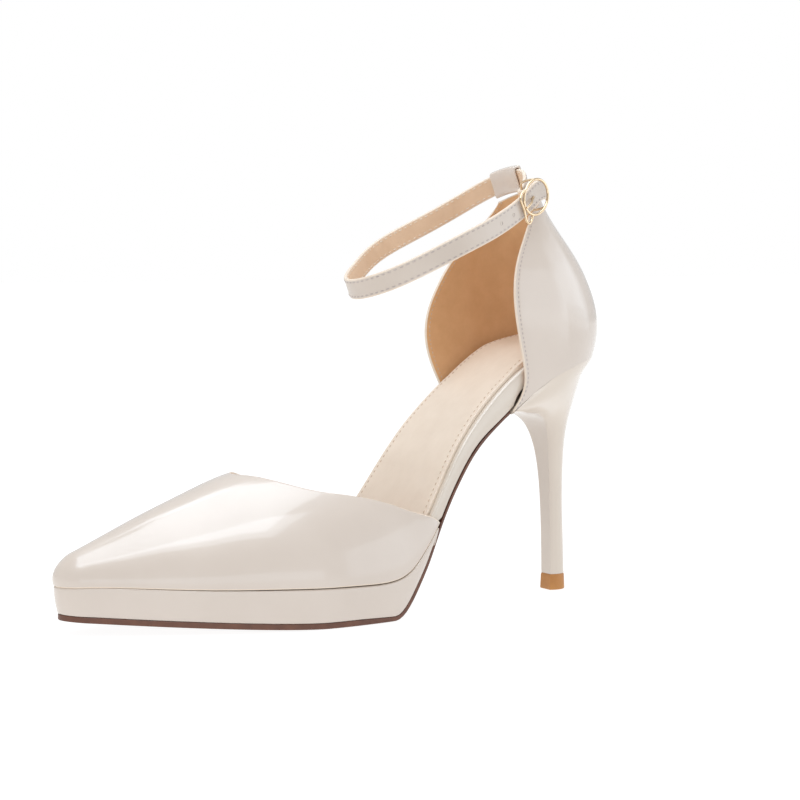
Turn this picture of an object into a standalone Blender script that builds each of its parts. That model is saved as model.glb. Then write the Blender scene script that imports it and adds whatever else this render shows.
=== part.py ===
"""High heel: a left pointed platform pump, open at the sides, with an ankle strap.

Sizes are in millimetres until a mesh is made. While modelling, X runs from the toe tip (0) to the back
of the heel, Y is negative on the outer side of the foot, and Z is the height above the floor. The whole
shoe hangs on one empty that puts the middle of its footprint on the origin.
"""
import math

import bmesh
import bpy
import numpy as np
from mathutils import Vector

MM = 0.001

# Driving sizes of the last and the bottom
SEAT_X = 188.0          # where the heel seat is widest
BACK_X = 219.4          # back of the upper at its lower edge
TOE_ROUND = 7.0         # length of the rounding of the toe tip
NOSE_BULGE = 1.3        # how far the nose of the vamp overhangs its seam
NOSE_HEIGHT = 13.0      # height of the nose above its seam
TOE_SPRING = 5.0        # height of the outsole under the toe tip
SPRING_POWER = 1.25     # how quickly the toe spring lifts off the floor
FLAT_FRONT = 86.0       # the outsole lies flat on the floor from here
FLAT_BACK = 114.0       # to here
GAP = 0.3               # clearance between pieces that touch
WALL = 1.3              # leather and lining of the upper
BOARD_THICK = 3.0
BOARD_RISE = 4.3        # extra height of the board's outer edge along the shank
RISE_GROWS = (123.0, 149.0)
RISE_ENDS = (172.0, 198.0)
FILL_GROWS = (135.4, 137.6)     # behind the platform the board reaches down to the outsole
FILL_ENDS = (166.5, 169.0)      # and ahead of the heel it draws back
SOCK_THICK = 1.0
HEEL_PAD = 1.6          # extra thickness of the sock under the heel
SOLE_THICK = 2.1
THINS_FROM = 100.0      # the outsole thins from here to the shank
SHANK_SOLE_THICK = 1.0
PLATFORM_LEAN = 1.2     # how far the platform wall leans in at the bottom
SOLE_TUCK = 0.6         # how far the outsole draws in under the counter's corner
TUCK_GROWS = (156.0, 167.0)
SHANK_X = 136.0         # tip of the vamp, where the board comes into view
BREAST_X = 170.5        # where the outsole meets the heel
COUNTER_LAP = 3.8       # how far the counter reaches down past the board, over the heel
SOCK_MARGIN = 2.4       # strip of the board that shows beside the sock

# Outline of the upper where it meets the platform, seen from above, and height of that seam
LAST_COLUMNS = ("x", "outer", "inner", "seam", "tilt")
LAST = (
    (0.0, -3.4, 10.6, 17.0, 0.00),
    (8.0, -6.6, 12.4, 17.2, 0.00),
    (18.0, -11.6, 16.6, 17.0, 0.00),
    (32.0, -18.6, 22.0, 16.3, 0.00),
    (50.0, -26.6, 28.0, 15.5, 0.00),
    (68.0, -33.2, 33.0, 15.1, 0.00),
    (85.0, -36.8, 35.4, 14.7, 0.00),
    (100.0, -36.8, 34.2, 14.4, 0.00),
    (110.0, -35.8, 32.0, 14.4, 0.00),
    (116.0, -34.9, 30.6, 15.2, 0.00),
    (122.0, -33.7, 29.2, 18.6, 0.02),
    (128.0, -32.4, 28.0, 25.5, 0.05),
    (136.0, -30.6, 26.6, 36.6, 0.07),
    (144.0, -28.8, 25.6, 48.2, 0.07),
    (152.0, -27.2, 24.8, 58.8, 0.07),
    (160.0, -26.2, 24.4, 67.6, 0.06),
    (168.0, -25.6, 24.3, 75.0, 0.05),
    (176.0, -25.5, 24.6, 81.2, 0.03),
    (188.0, -25.6, 24.8, 88.6, 0.01),
    (200.0, -25.6, 24.8, 92.8, 0.00),
    (212.0, -25.6, 24.8, 95.4, 0.00),
    (220.0, -25.6, 24.8, 96.6, 0.00),
)

# Drop from that seam to the underside of the outsole, behind the flat of the forefoot
SOLE_COLUMNS = ("x", "drop")
SOLE = (
    (114.0, 14.85),
    (117.0, 15.05),
    (120.0, 14.3),
    (124.0, 12.45),
    (128.0, 10.6),
    (132.0, 8.6),
    (136.0, 5.6),
    (141.0, 3.3),
    (147.0, 2.4),
    (155.0, 2.1),
    (160.0, 2.9),
    (164.0, 3.8),
    (168.0, 4.4),
    (172.0, 4.6),
)

# Ridge of the vamp; behind the throat it is the ridge of the last, which guides the side walls
VAMP_COLUMNS = ("x", "ridge_y", "ridge_z", "fullness")
VAMP = (
    (0.0, 3.6, 25.0, 2.0),
    (8.0, 3.0, 28.7, 2.0),
    (18.0, 2.8, 33.1, 1.95),
    (32.0, 2.6, 39.2, 1.95),
    (50.0, 2.6, 46.3, 1.95),
    (68.0, 2.6, 52.5, 2.0),
    (85.0, 2.4, 55.6, 2.0),
    (100.0, 2.0, 58.6, 2.0),
    (116.0, 1.6, 62.4, 2.0),
    (138.0, 1.0, 71.0, 2.0),
)
THROAT_X = 68.0         # front of the throat, on the ridge
INNER_TIP_X = 132.0     # inner tip of the vamp

# Throat edge: share of the way from the throat's front back to the tip, by the angle up from the seam;
# the last row lies past the ridge and keeps the front of the throat round
THROAT_COLUMNS = ("degrees", "share")
THROAT = (
    (0.0, 1.000),
    (10.0, 0.953),
    (20.0, 0.879),
    (30.0, 0.771),
    (40.0, 0.594),
    (50.0, 0.350),
    (60.0, 0.197),
    (75.0, 0.065),
    (90.0, 0.000),
    (105.0, 0.065),
)

# Level sections of the counter; front_outer and front_inner are its two front edges
COUNTER_COLUMNS = ("z", "back", "widest", "outer", "inner", "front_outer", "front_inner")
COUNTER = (
    (70.0, 210.3, 188.0, 25.7, 24.9, 168.4, 172.6),
    (76.0, 213.7, 188.0, 26.1, 25.3, 172.6, 170.8),
    (82.0, 216.5, 188.0, 26.5, 25.7, 175.0, 168.0),
    (90.0, 218.9, 188.0, 27.1, 26.3, 174.4, 164.6),
    (100.0, 221.5, 188.0, 27.7, 26.9, 172.0, 162.8),
    (110.0, 220.7, 187.0, 28.1, 27.3, 170.0, 164.8),
    (120.0, 216.7, 185.6, 27.5, 26.7, 169.8, 169.4),
    (130.0, 210.5, 183.6, 25.9, 25.1, 172.4, 175.8),
    (140.0, 202.7, 181.4, 22.7, 22.3, 178.0, 184.4),
    (150.0, 197.1, 179.6, 17.7, 18.3, 184.6, 189.8),
    (160.0, 194.3, 178.6, 14.3, 15.3, 190.0, 191.0),
)
COUNTER_FRONT_REACH = 100.0     # the walls run forward on an ellipse this long
COUNTER_GUESS = (85.0, 152.0)   # rough heights of its lower and top edges, where the search for them starts

# Sections of the heel from below the counter down to the top lift, each leaning from breast to back
HEEL_COLUMNS = ("front_x", "front_z", "back_x", "back_z", "half_width")
HEEL = (
    (174.4, 71.8, 215.8, 88.4, 23.5),
    (180.6, 71.2, 214.0, 84.0, 20.9),
    (187.6, 70.6, 212.8, 79.0, 17.4),
    (193.4, 69.2, 211.8, 73.4, 13.6),
    (197.4, 65.6, 210.9, 67.0, 9.8),
    (200.0, 58.6, 210.2, 59.2, 6.8),
    (201.6, 48.0, 209.9, 48.4, 4.9),
    (202.5, 34.0, 210.0, 34.2, 4.0),
    (203.0, 18.0, 210.6, 18.1, 3.75),
    (203.2, 6.2, 211.0, 6.2, 3.75),
)
HEEL_FLAT = math.radians(125.0)     # angle from the back at which the flat breast begins
LIFT_TOP = 5.9
LIFT_FLARE = 0.35

# Ankle strap: height and roll of its middle line, then the way round the ankle from the buckle's bar to the tail
STRAP_COLUMNS = ("x", "height", "roll")
STRAP_LINE = (
    (112.0, 116.8, -0.05),
    (130.0, 127.0, -0.04),
    (145.0, 134.8, -0.03),
    (157.0, 140.2, -0.02),
    (170.0, 146.4, -0.01),
    (180.0, 152.0, 0.00),
    (190.0, 158.8, 0.00),
    (200.0, 166.0, 0.00),
)
STRAP_WIDTH = 7.8
STRAP_THICK = 1.3
STRAP_TILT = math.radians(20.0)
ROUTE_COLUMNS = ("x", "y")
ROUTE = (
    (187.0, -9.8),
    (190.4, -3.6),
    (191.6, 3.0),
    (190.4, 10.0),
    (186.2, 16.6),
    (178.4, 21.4),
    (167.0, 24.0),
    (153.0, 25.0),
    (140.0, 23.2),
    (129.2, 16.2),
    (118.6, 6.4),
    (114.4, -4.2),
    (116.0, -15.4),
    (122.4, -25.6),
    (132.6, -31.6),
    (143.0, -34.2),
    (154.0, -33.6),
    (165.0, -30.2),
    (173.0, -26.8),
    (180.4, -22.8),
    (187.0, -18.7),
    (192.2, -14.6),
)
BUCKLE_ROW = 19         # row of the route that lies over the bar behind the strap
TAIL_SAG = 1.50         # how far the loose tail has sunk one row past the buckle

# Buckle
RING_LENGTH = 13.4      # along the strap, between the middles of the wire
RING_HEIGHT = 12.2      # across the strap
RING_TURN = math.radians(16.0)      # the ring faces further outwards than the strap under it
RING_AHEAD = 2.7        # from the bar behind the strap forward to the ring's middle
RING_UP = 0.8           # from the strap's middle line up to the ring's middle
WIRE = 0.5              # radius of the ring's wire
BAR_WIRE = 0.45
PRONG_WIRE = 0.42
FRONT_BAR_REACH = 8.2   # from the ring's middle forward to the bar that holds the strap down
FRONT_BAR_HALF = 4.8    # half of the straight stretch of that bar
FRONT_BAR_DROP = 1.2    # from the ring's middle down to the middle of that bar

# Strap tunnel: stretch of the route that it covers, in rows
TUNNEL_FROM = 1.8
TUNNEL_TO = 3.7
TUNNEL_WALL = 0.9
TUNNEL_DROP = 7.6       # from the strap's middle line down to the top edge of the counter


def spline(xs, ys):
    """Cubic spline through the points, natural at its ends."""
    xs = np.asarray(xs, float)
    ys = np.asarray(ys, float)
    count = len(xs)
    step = np.diff(xs)
    rise = np.diff(ys) / step
    matrix = np.eye(count)
    right = np.zeros(count)
    for i in range(1, count - 1):
        matrix[i, i - 1:i + 2] = step[i - 1], 2.0 * (step[i - 1] + step[i]), step[i]
        right[i] = 6.0 * (rise[i] - rise[i - 1])
    bend = np.linalg.solve(matrix, right)

    def at(x):
        x = np.clip(np.asarray(x, float), xs[0], xs[-1])
        k = np.clip(np.searchsorted(xs, x, side="right") - 1, 0, count - 2)
        a = (xs[k + 1] - x) / step[k]
        b = 1.0 - a
        curve = (a ** 3 - a) * bend[k] + (b ** 3 - b) * bend[k + 1]
        return a * ys[k] + b * ys[k + 1] + curve * step[k] ** 2 / 6.0

    return at


def columns(table, names):
    """One spline for each column after the first, by name."""
    rows = np.asarray(table, float)
    return {name: spline(rows[:, 0], rows[:, i]) for i, name in enumerate(names) if i > 0}


last = columns(LAST, LAST_COLUMNS)
sole_drop = columns(SOLE, SOLE_COLUMNS)["drop"]
vamp_last = columns(VAMP, VAMP_COLUMNS)
throat_share = columns(THROAT, THROAT_COLUMNS)["share"]
counter_last = columns(COUNTER, COUNTER_COLUMNS)
strap_last = columns(STRAP_LINE, STRAP_COLUMNS)


def end_round(x, inset=0.0):
    """Share of the full width that is left by the rounding of the toe tip and of the heel seat."""
    toe = np.clip((x - inset) / TOE_ROUND, 0.0, 1.0)
    seat = np.clip((x - SEAT_X) / (BACK_X - inset - SEAT_X), 0.0, 1.0)
    return np.sqrt(1.0 - (1.0 - toe) ** 2) * np.sqrt(np.maximum(1.0 - seat ** 2, 0.0))


def edge(x, side, inset=0.0):
    """Y of the outline at x, moved in by inset; side is outer or inner."""
    middle = 0.5 * (last["outer"](x) + last["inner"](x))
    half = 0.5 * (last["inner"](x) - last["outer"](x)) - inset
    reach = np.maximum(half, 0.2) * end_round(x, inset)
    return middle - reach if side == "outer" else middle + reach


def slope_stretch(curve, x):
    """Vertical thickness of a layer that is one unit thick across the slope."""
    rise = (curve(x + 0.5) - curve(x - 0.5)) / 1.0
    return np.sqrt(1.0 + rise ** 2)


def seam_at(x, y):
    """Height of the lower edge of the upper, tilted sideways in the arch."""
    return last["seam"](x) + last["tilt"](x) * y


def sole_under(x, y=0.0):
    """Underside of the outsole: toe spring, flat forefoot, then the sweep up to the shank."""
    spring = TOE_SPRING * np.clip((FLAT_FRONT - x) / FLAT_FRONT, 0.0, 1.0) ** SPRING_POWER
    sweep = np.maximum(seam_at(x, y) - sole_drop(x), 0.0)
    return np.where(x < FLAT_BACK, spring, sweep)


def sole_thickness(x):
    """The sole thins from the forefoot to the shank."""
    share = np.clip((x - THINS_FROM) / (SHANK_X - THINS_FROM), 0.0, 1.0)
    return SOLE_THICK + (SHANK_SOLE_THICK - SOLE_THICK) * share


def sole_over(x, y=0.0):
    """Upper side of the outsole."""
    return sole_under(x, y) + sole_thickness(x) * slope_stretch(sole_under, x)


def ease(x, start, end):
    """Smooth step from 0 at start to 1 at end."""
    share = np.clip((x - start) / (end - start), 0.0, 1.0)
    return share * share * (3.0 - 2.0 * share)


def board_over(x, y):
    """Upper side of the insole board, raised along the outer side of the shank to lay the sock level."""
    outer, inner = last["outer"](x), last["inner"](x)
    rise = BOARD_RISE * ease(x, *RISE_GROWS) * (1.0 - ease(x, *RISE_ENDS))
    across = np.clip((inner - y) / (inner - outer), 0.0, 1.0)
    return seam_at(x, y) + BOARD_THICK * slope_stretch(last["seam"], x) + rise * across


def board_under(x, y):
    """Underside of the board: the seam, and along the shank the outsole."""
    fill = ease(x, *FILL_GROWS) * (1.0 - ease(x, *FILL_ENDS))
    seam = seam_at(x, y)
    room = np.maximum(seam - sole_over(x, y) - GAP * slope_stretch(sole_under, x), 0.0)
    return seam - fill * room


def stations(start, end, count):
    """Places along the shoe, closer together near both ends."""
    turn = np.linspace(0.0, math.pi, count)
    even = np.linspace(0.0, 1.0, count)
    share = 0.5 * (0.5 - 0.5 * np.cos(turn)) + 0.5 * even
    return start + (end - start) * share


# Mesh making

def material(name, colour, roughness, metallic=0.0):
    """Principled material."""
    made = bpy.data.materials.new(name)
    made.use_nodes = True
    shader = made.node_tree.nodes["Principled BSDF"]
    shader.inputs["Base Color"].default_value = (*colour, 1.0)
    shader.inputs["Roughness"].default_value = roughness
    shader.inputs["Metallic"].default_value = metallic
    return made


def finish(name, points, faces, skin):
    """Closed mesh object from points in millimetres."""
    mesh = bpy.data.meshes.new(name)
    mesh.from_pydata([Vector(p) * MM for p in points], [], faces)
    work = bmesh.new()
    work.from_mesh(mesh)
    bmesh.ops.remove_doubles(work, verts=work.verts, dist=1e-7)
    bmesh.ops.recalc_face_normals(work, faces=work.faces)
    work.to_mesh(mesh)
    work.free()
    piece = bpy.data.objects.new(name, mesh)
    bpy.context.scene.collection.objects.link(piece)
    mesh.materials.append(skin)
    return piece


def loft(name, rings, skin, closed=False):
    """Solid through rings of equal length, capped at both ends unless it closes on itself."""
    size = len(rings[0])
    points = [p for ring in rings for p in ring]
    faces = []
    last_ring = len(rings) if closed else len(rings) - 1
    for i in range(last_ring):
        for j in range(size):
            a = i * size
            b = (i + 1) % len(rings) * size
            k = (j + 1) % size
            faces.append((a + j, a + k, b + k, b + j))
    if not closed:
        faces.append(tuple(range(size)))
        faces.append(tuple(range(len(points) - size, len(points))))
    return finish(name, points, faces, skin)


def shell(name, outside, inside, skin):
    """Hollow wall between two grids of points, closed along all four borders."""
    rows, across = outside.shape[:2]
    points = [tuple(p) for p in outside.reshape(-1, 3)] + [tuple(p) for p in inside.reshape(-1, 3)]
    shift = rows * across
    faces = []
    for i in range(rows - 1):
        for j in range(across - 1):
            a = i * across + j
            quad = (a, a + 1, a + across + 1, a + across)
            faces.append(quad)
            faces.append(tuple(shift + k for k in reversed(quad)))
    border = [(0, j) for j in range(across - 1)]
    border += [(i, across - 1) for i in range(rows - 1)]
    border += [(rows - 1, j) for j in range(across - 1, 0, -1)]
    border += [(i, 0) for i in range(rows - 1, 0, -1)]
    for (i, j), (m, n) in zip(border, border[1:] + border[:1]):
        a = i * across + j
        b = m * across + n
        faces.append((a, b, shift + b, shift + a))
    return finish(name, points, faces, skin)


def outward_normals(grid):
    """Unit normals of a grid of points, from the cross product of its two directions."""
    along = np.gradient(grid, axis=0)
    over = np.gradient(grid, axis=1)
    normal = np.cross(over, along)
    length = np.linalg.norm(normal, axis=2, keepdims=True)
    return normal / np.maximum(length, 1e-9)


def slab(name, skin, places, over, under, inset, roll=0.6, lean=0.0):
    """Sheet with rounded edges: one upright section for each place along the shoe.

    over and under give heights at x, y; inset is a distance from the outline, or gives one at x; lean
    moves the lower edge in further than the upper one.
    """
    across = np.linspace(-1.0, 1.0, 5)
    high_part = 0.72
    rings = []
    for x in places:
        margin = inset(x) if callable(inset) else inset
        low_x = x + lean * (1.0 - x / places[-1])
        sides = (edge(x, "outer", margin), edge(x, "inner", margin))
        low_sides = (edge(low_x, "outer", margin + lean), edge(low_x, "inner", margin + lean))
        corner = min(roll, 0.2 * (sides[1] - sides[0]), 0.2 * (low_sides[1] - low_sides[0]))
        top = np.interp(across, (-1.0, 1.0), (sides[0] + corner, sides[1] - corner))
        low = np.interp(across, (-1.0, 1.0), (low_sides[0] + corner, low_sides[1] - corner))

        def flank(side, share):
            here = low_x + (x - low_x) * share
            y = low_sides[side] + (sides[side] - low_sides[side]) * share
            return (here, y, under(here, y) + (over(here, y) - under(here, y)) * share)

        ring = [(x, y, over(x, y)) for y in top]
        ring += [flank(1, high_part), flank(1, 1.0 - high_part)]
        ring += [(low_x, y, under(low_x, y)) for y in reversed(low)]
        ring += [flank(0, 1.0 - high_part), flank(0, high_part)]
        rings.append(ring)
    return loft(name, rings, skin)


def sole_margin(x):
    """Distance of the outsole's edge from the outline, larger where the counter laps over it."""
    return PLATFORM_LEAN + 0.2 + SOLE_TUCK * ease(x, *TUCK_GROWS)


def toe_margin(x):
    """Distance of the board's edge from the outline: the wall and a gap, and more where the toe closes in."""
    return WALL + GAP + 0.9 * np.clip(1.0 - x / 40.0, 0.0, 1.0)


def sock_margin(x):
    """Distance of the sock's edge from the outline."""
    return toe_margin(x) + SOCK_MARGIN


# Bottom of the shoe

def make_outsole():
    """Thin sole from the toe, under the platform and up its rear, to the heel breast."""
    skin = material("outsole_rubber", (0.16, 0.07, 0.045), 0.5)
    front = stations(0.4 + PLATFORM_LEAN, FLAT_FRONT, 14)
    flat = np.linspace(FLAT_FRONT, FLAT_BACK, 5)[1:-1]
    rear = stations(FLAT_BACK, BREAST_X, 24)
    places = np.concatenate((front, flat, rear))

    def over(x, y):
        return float(sole_over(x, y))

    def under(x, y):
        return float(sole_under(x, y))

    return slab("outsole", skin, places, over, under, sole_margin, 0.4)


def make_platform():
    """Block between the outsole and the upper, tapering to nothing at the shank."""
    skin = material("platform_cover", (0.80, 0.74, 0.67), 0.15)
    places = np.concatenate((stations(0.2, FLAT_FRONT, 16)[:-1], stations(FLAT_FRONT, SHANK_X - 1.0, 24)))

    def over(x, y):
        return float(seam_at(x, y) - GAP * slope_stretch(last["seam"], x))

    def under(x, y):
        return float(sole_over(x, y) + GAP * slope_stretch(sole_under, x))

    return slab("platform", skin, places, over, under, 0.1, 0.7, PLATFORM_LEAN)


def bottom_places(start, end):
    """Places for the board and the sock, the same ones for both along the shank."""
    front = stations(start, RISE_GROWS[0], 18)[:-1]
    bend = np.linspace(RISE_GROWS[0], FILL_GROWS[0], 5)
    shank = np.linspace(FILL_GROWS[1], FILL_ENDS[0], 9)
    seat = np.linspace(FILL_ENDS[1], SEAT_X, 6)
    rear = stations(SEAT_X, end, 9)[1:]
    return np.concatenate((front, bend, shank, seat, rear))


def make_board():
    """Wrapped board from the toe to the heel seat; its edge shows along the shank."""
    skin = material("board_cover", (0.80, 0.74, 0.67), 0.25)
    places = bottom_places(toe_margin(0.0) + 0.3, BACK_X - WALL - GAP - 0.3)

    def over(x, y):
        return float(board_over(x, y))

    def under(x, y):
        return float(board_under(x, y))

    return slab("insole_board", skin, places, over, under, toe_margin, 1.0)


def make_sock():
    """Sock on the board, padded under the heel."""
    skin = material("sock_leather", (0.80, 0.62, 0.49), 0.6)
    places = bottom_places(sock_margin(0.0) + 0.3, BACK_X - sock_margin(BACK_X) - 0.3)

    def under(x, y):
        return float(board_over(x, y) + GAP * slope_stretch(last["seam"], x))

    def over(x, y):
        pad = HEEL_PAD * np.clip((x - BREAST_X) / (SEAT_X - BREAST_X), 0.0, 1.0)
        return under(x, y) + float((SOCK_THICK + pad) * slope_stretch(last["seam"], x))

    return slab("sock_lining", skin, places, over, under, sock_margin, 0.4)


# Upper

def vamp_point(x, turn, inset=0.0):
    """Point of the vamp at x, inset from its outside; turn goes from 0 at the outer seam to pi at the inner."""
    side = "outer" if turn < 0.5 * math.pi else "inner"
    power = 2.0 / vamp_last["fullness"](x)
    nose = np.clip((x - inset) / TOE_ROUND, 0.0, 1.0)
    nose_round = math.sqrt(1.0 - (1.0 - nose) ** 2)
    middle = 0.5 * (edge(x, "outer", inset) + edge(x, "inner", inset))
    ridge_y = middle + (vamp_last["ridge_y"](x) - middle) * nose_round
    y = ridge_y + (edge(x, side, inset) - ridge_y) * abs(math.cos(turn)) ** power
    ridge_z = vamp_last["ridge_z"](x) - inset * slope_stretch(vamp_last["ridge_z"], x)
    height = (ridge_z - last["seam"](x)) * nose_round * math.sin(turn) ** power
    bulge = NOSE_BULGE * math.sin(math.pi * min(height / NOSE_HEIGHT, 1.0)) * math.exp(-x / TOE_ROUND)
    return (x - bulge, y, seam_at(x, y) + height)


def throat(turn):
    """X of the throat's edge: furthest forward at the ridge, swept back to a tip at each seam."""
    tip = SHANK_X if turn < 0.5 * math.pi else INNER_TIP_X
    return THROAT_X + (tip - THROAT_X) * float(throat_share(math.degrees(min(turn, math.pi - turn))))


def make_vamp():
    """Closed toe: a shell that is open at the throat and underneath."""
    skin = material("vamp_patent", (0.80, 0.74, 0.67), 0.12)
    turns = np.linspace(0.0, math.pi, 27)
    shares = np.linspace(0.0, 1.0, 23) ** 1.5
    outside = np.array([[vamp_point(throat(t) * s, t) for t in turns] for s in shares])
    inside = np.array([[vamp_point(WALL + (throat(t) - WALL) * s, t, WALL) for t in turns] for s in shares])
    return shell("vamp", outside, inside, skin)


def counter_turns(z):
    """Angles of the two front edges at height z, measured from the back."""
    reach = COUNTER_FRONT_REACH
    widest = counter_last["widest"](z)
    angles = []
    for name in ("front_outer", "front_inner"):
        share = (counter_last[name](z) - widest)
        share = share / (reach if share < 0 else counter_last["back"](z) - widest)
        angles.append(math.acos(np.clip(share, -1.0, 1.0)))
    return -angles[0], angles[1]


def counter_plan(z, across):
    """X and Y of the counter's outside at height z; across goes from -1 (outer) to 1 (inner)."""
    outer_turn, inner_turn = counter_turns(z)
    turn = -outer_turn * across if across < 0 else inner_turn * across
    widest = counter_last["widest"](z)
    reach = counter_last["back"](z) - widest if math.cos(turn) > 0 else COUNTER_FRONT_REACH
    half = counter_last["outer"](z) if turn < 0 else counter_last["inner"](z)
    return widest + reach * math.cos(turn), half * math.sin(turn)


def counter_level(across, share):
    """Height at a share of the way from the counter's lower edge to its top edge."""
    low, high = COUNTER_GUESS
    for _ in range(12):
        x, y = counter_plan(low, across)
        low = float(seam_at(x, y)) - COUNTER_LAP
        x, y = counter_plan(high, across)
        high = float(strap_last["height"](x)) - TUNNEL_DROP
    return low + (high - low) * share


def make_counter():
    """Closed back: a shell that is open at the front, the collar and underneath."""
    skin = material("counter_patent", (0.80, 0.74, 0.67), 0.12)
    acrosses = np.linspace(-1.0, 1.0, 29)
    shares = np.linspace(0.0, 1.0, 21)
    grid = []
    for share in shares:
        row = []
        for across in acrosses:
            z = counter_level(across, share)
            row.append((*counter_plan(z, across), z))
        grid.append(row)
    outside = np.array(grid)
    inside = outside - WALL * outward_normals(outside)
    inside[0, :, 2] = outside[0, :, 2]
    return shell("counter", outside, inside, skin)


# Heel

HEEL_ACROSS = np.linspace(-1.0, 1.0, 25)
BREAST_SHARES = (0.25, 0.5, 0.75)


def close_breast(ring):
    """Add points along the flat breast, from the ring's last point back to its first."""
    first = np.array(ring[0])
    final = np.array(ring[-1])
    return ring + [tuple(final + (first - final) * share) for share in BREAST_SHARES]


def heel_ring(front_x, front_z, back_x, back_z, half_width):
    """Section of the stem: round at the back and flat at the breast."""
    length = (back_x - front_x) / (1.0 - math.cos(HEEL_FLAT))
    ring = []
    for across in HEEL_ACROSS:
        turn = HEEL_FLAT * across
        x = back_x - length * (1.0 - math.cos(turn))
        share = (x - front_x) / (back_x - front_x)
        ring.append((x, half_width * math.sin(turn), front_z + (back_z - front_z) * share))
    return close_breast(ring)


def seat_ring(inset, drop):
    """Section that follows the counter's lower edge, inset from it and a drop below the board."""
    points = []
    for across in HEEL_ACROSS:
        z = counter_level(across, 0.0)
        points.append(counter_plan(z, across))
    points = np.array(points)
    ahead = np.gradient(points, axis=0)
    side = np.stack((-ahead[:, 1], ahead[:, 0]), axis=1)
    side = side / np.linalg.norm(side, axis=1, keepdims=True)
    ring = []
    for x, y in points + side * inset:
        x = max(x, BREAST_X + 3.0 * GAP)
        ring.append((x, y, float(seam_at(x, y) - drop - GAP * slope_stretch(last["seam"], x))))
    return close_breast(ring)


def make_heel():
    """Slim heel: a plug inside the counter's lower edge, then flush with the counter and down to the lift."""
    skin = material("heel_cover", (0.80, 0.74, 0.67), 0.12)
    plug = WALL + GAP
    rings = [seat_ring(plug, 0.0), seat_ring(plug, COUNTER_LAP), seat_ring(0.0, COUNTER_LAP)]
    rings += [heel_ring(**dict(zip(HEEL_COLUMNS, row))) for row in HEEL]
    return loft("heel", rings, skin)


def make_lift():
    """Wearing tip that stands on the floor."""
    skin = material("lift_rubber", (0.55, 0.27, 0.08), 0.5)
    front_x, _, back_x, _, half = HEEL[-1]
    flare = LIFT_FLARE
    top = heel_ring(front_x - 0.1, LIFT_TOP, back_x + 0.1, LIFT_TOP, half + 0.1)
    foot = heel_ring(front_x - flare, 0.0, back_x + flare, 0.0, half + flare)
    return loft("top_lift", [top, foot], skin)


# Strap, tunnel and buckle

ACROSS_STRAP = np.array((-math.sin(STRAP_TILT), 0.0, math.cos(STRAP_TILT)))


route_line = columns([(i, *row) for i, row in enumerate(ROUTE)], ("row", *ROUTE_COLUMNS))


def route(t):
    """Point of the route at row t, seen from above."""
    return np.array((route_line["x"](t), route_line["y"](t)))


def strap_height(x, y):
    """Height of the strap's middle line, which rolls towards the inner side in front."""
    return float(strap_last["height"](x) + strap_last["roll"](x) * y)


def strap_point(t):
    """Point of the strap's middle line at row t of the route."""
    x, y = route(t)
    sag = TAIL_SAG * max(0.0, t - BUCKLE_ROW) ** 2
    return np.array((x, y, strap_height(x, y) - sag))


def strap_frame(t):
    """Point of the strap's middle line, its direction and its outward side, at row t of the route."""
    direction = strap_point(t + 0.02) - strap_point(t - 0.02)
    direction = direction / np.linalg.norm(direction)
    outward = np.cross(direction, ACROSS_STRAP)
    return strap_point(t), direction, outward / np.linalg.norm(outward)


def band(point, outward, thick, width):
    """Corners of a flat section, thick along outward and wide across the strap."""
    corners = []
    for side, high in ((-1, -1), (1, -1), (1, 1), (-1, 1)):
        corners.append(tuple(point + outward * side * 0.5 * thick + ACROSS_STRAP * high * 0.5 * width))
    return corners


BUCKLE_POINT, BUCKLE_ALONG, BUCKLE_OUT = strap_frame(float(BUCKLE_ROW))
LAYER = STRAP_THICK + GAP
FOLD = BAR_WIRE + GAP + 0.5 * STRAP_THICK
BAR_DEPTH = LAYER + FOLD
RING_RISE = 0.5 * STRAP_THICK + GAP + WIRE


def buckle_place(along, across, out):
    """Point given along the strap, across it and outwards from the strap at the buckle."""
    return BUCKLE_POINT + BUCKLE_ALONG * along + ACROSS_STRAP * across + BUCKLE_OUT * out


def ring_place(along, across):
    """Point of the ring's plane, which rests on the strap in front and is lifted off it behind."""
    lift = max(0.0, along + 0.5 * RING_LENGTH) * math.sin(RING_TURN)
    return buckle_place(along * math.cos(RING_TURN) - RING_AHEAD, across + RING_UP, RING_RISE + lift)


def make_strap():
    """One strap: folded round the buckle's bar, through the tunnel, round the ankle, out at the tail."""
    skin = material("strap_patent", (0.80, 0.74, 0.67), 0.15)
    sections = []
    flap = 6.5
    for along in (flap, 0.5 * flap):
        sections.append(band(buckle_place(along, 0.0, -LAYER), BUCKLE_OUT, STRAP_THICK, STRAP_WIDTH))
    for k in range(9):
        turn = math.pi * k / 8
        out = BUCKLE_OUT * math.cos(turn) - BUCKLE_ALONG * math.sin(turn)
        point = buckle_place(0.0, 0.0, -BAR_DEPTH) + out * FOLD
        sections.append(band(point, out, STRAP_THICK, STRAP_WIDTH))
    point = buckle_place(3.0, 0.0, -BAR_DEPTH - FOLD)
    sections.append(band(point, -BUCKLE_OUT, STRAP_THICK, STRAP_WIDTH))
    for t in np.linspace(0.0, len(ROUTE) - 1.0, 85):
        point, _, outward = strap_frame(float(t))
        sections.append(band(point, -outward, STRAP_THICK, STRAP_WIDTH))
    return loft("ankle_strap", sections, skin)


def make_tunnel():
    """Fold of leather at the top of the counter, round the strap and open at both ends."""
    skin = material("tunnel_patent", (0.80, 0.74, 0.67), 0.2)
    outside = []
    inside = []
    for t in np.linspace(TUNNEL_FROM, TUNNEL_TO, 19):
        point, _, outward = strap_frame(float(t))
        hole = (STRAP_THICK + 2.0 * GAP, STRAP_WIDTH + 2.0 * GAP)
        wall = 2.0 * TUNNEL_WALL
        outside.append(band(point, outward, hole[0] + wall, hole[1] + wall))
        inside.append(band(point, outward, *hole))
    rings = outside + inside[::-1]
    return loft("strap_tunnel", rings, skin, closed=True)


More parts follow.
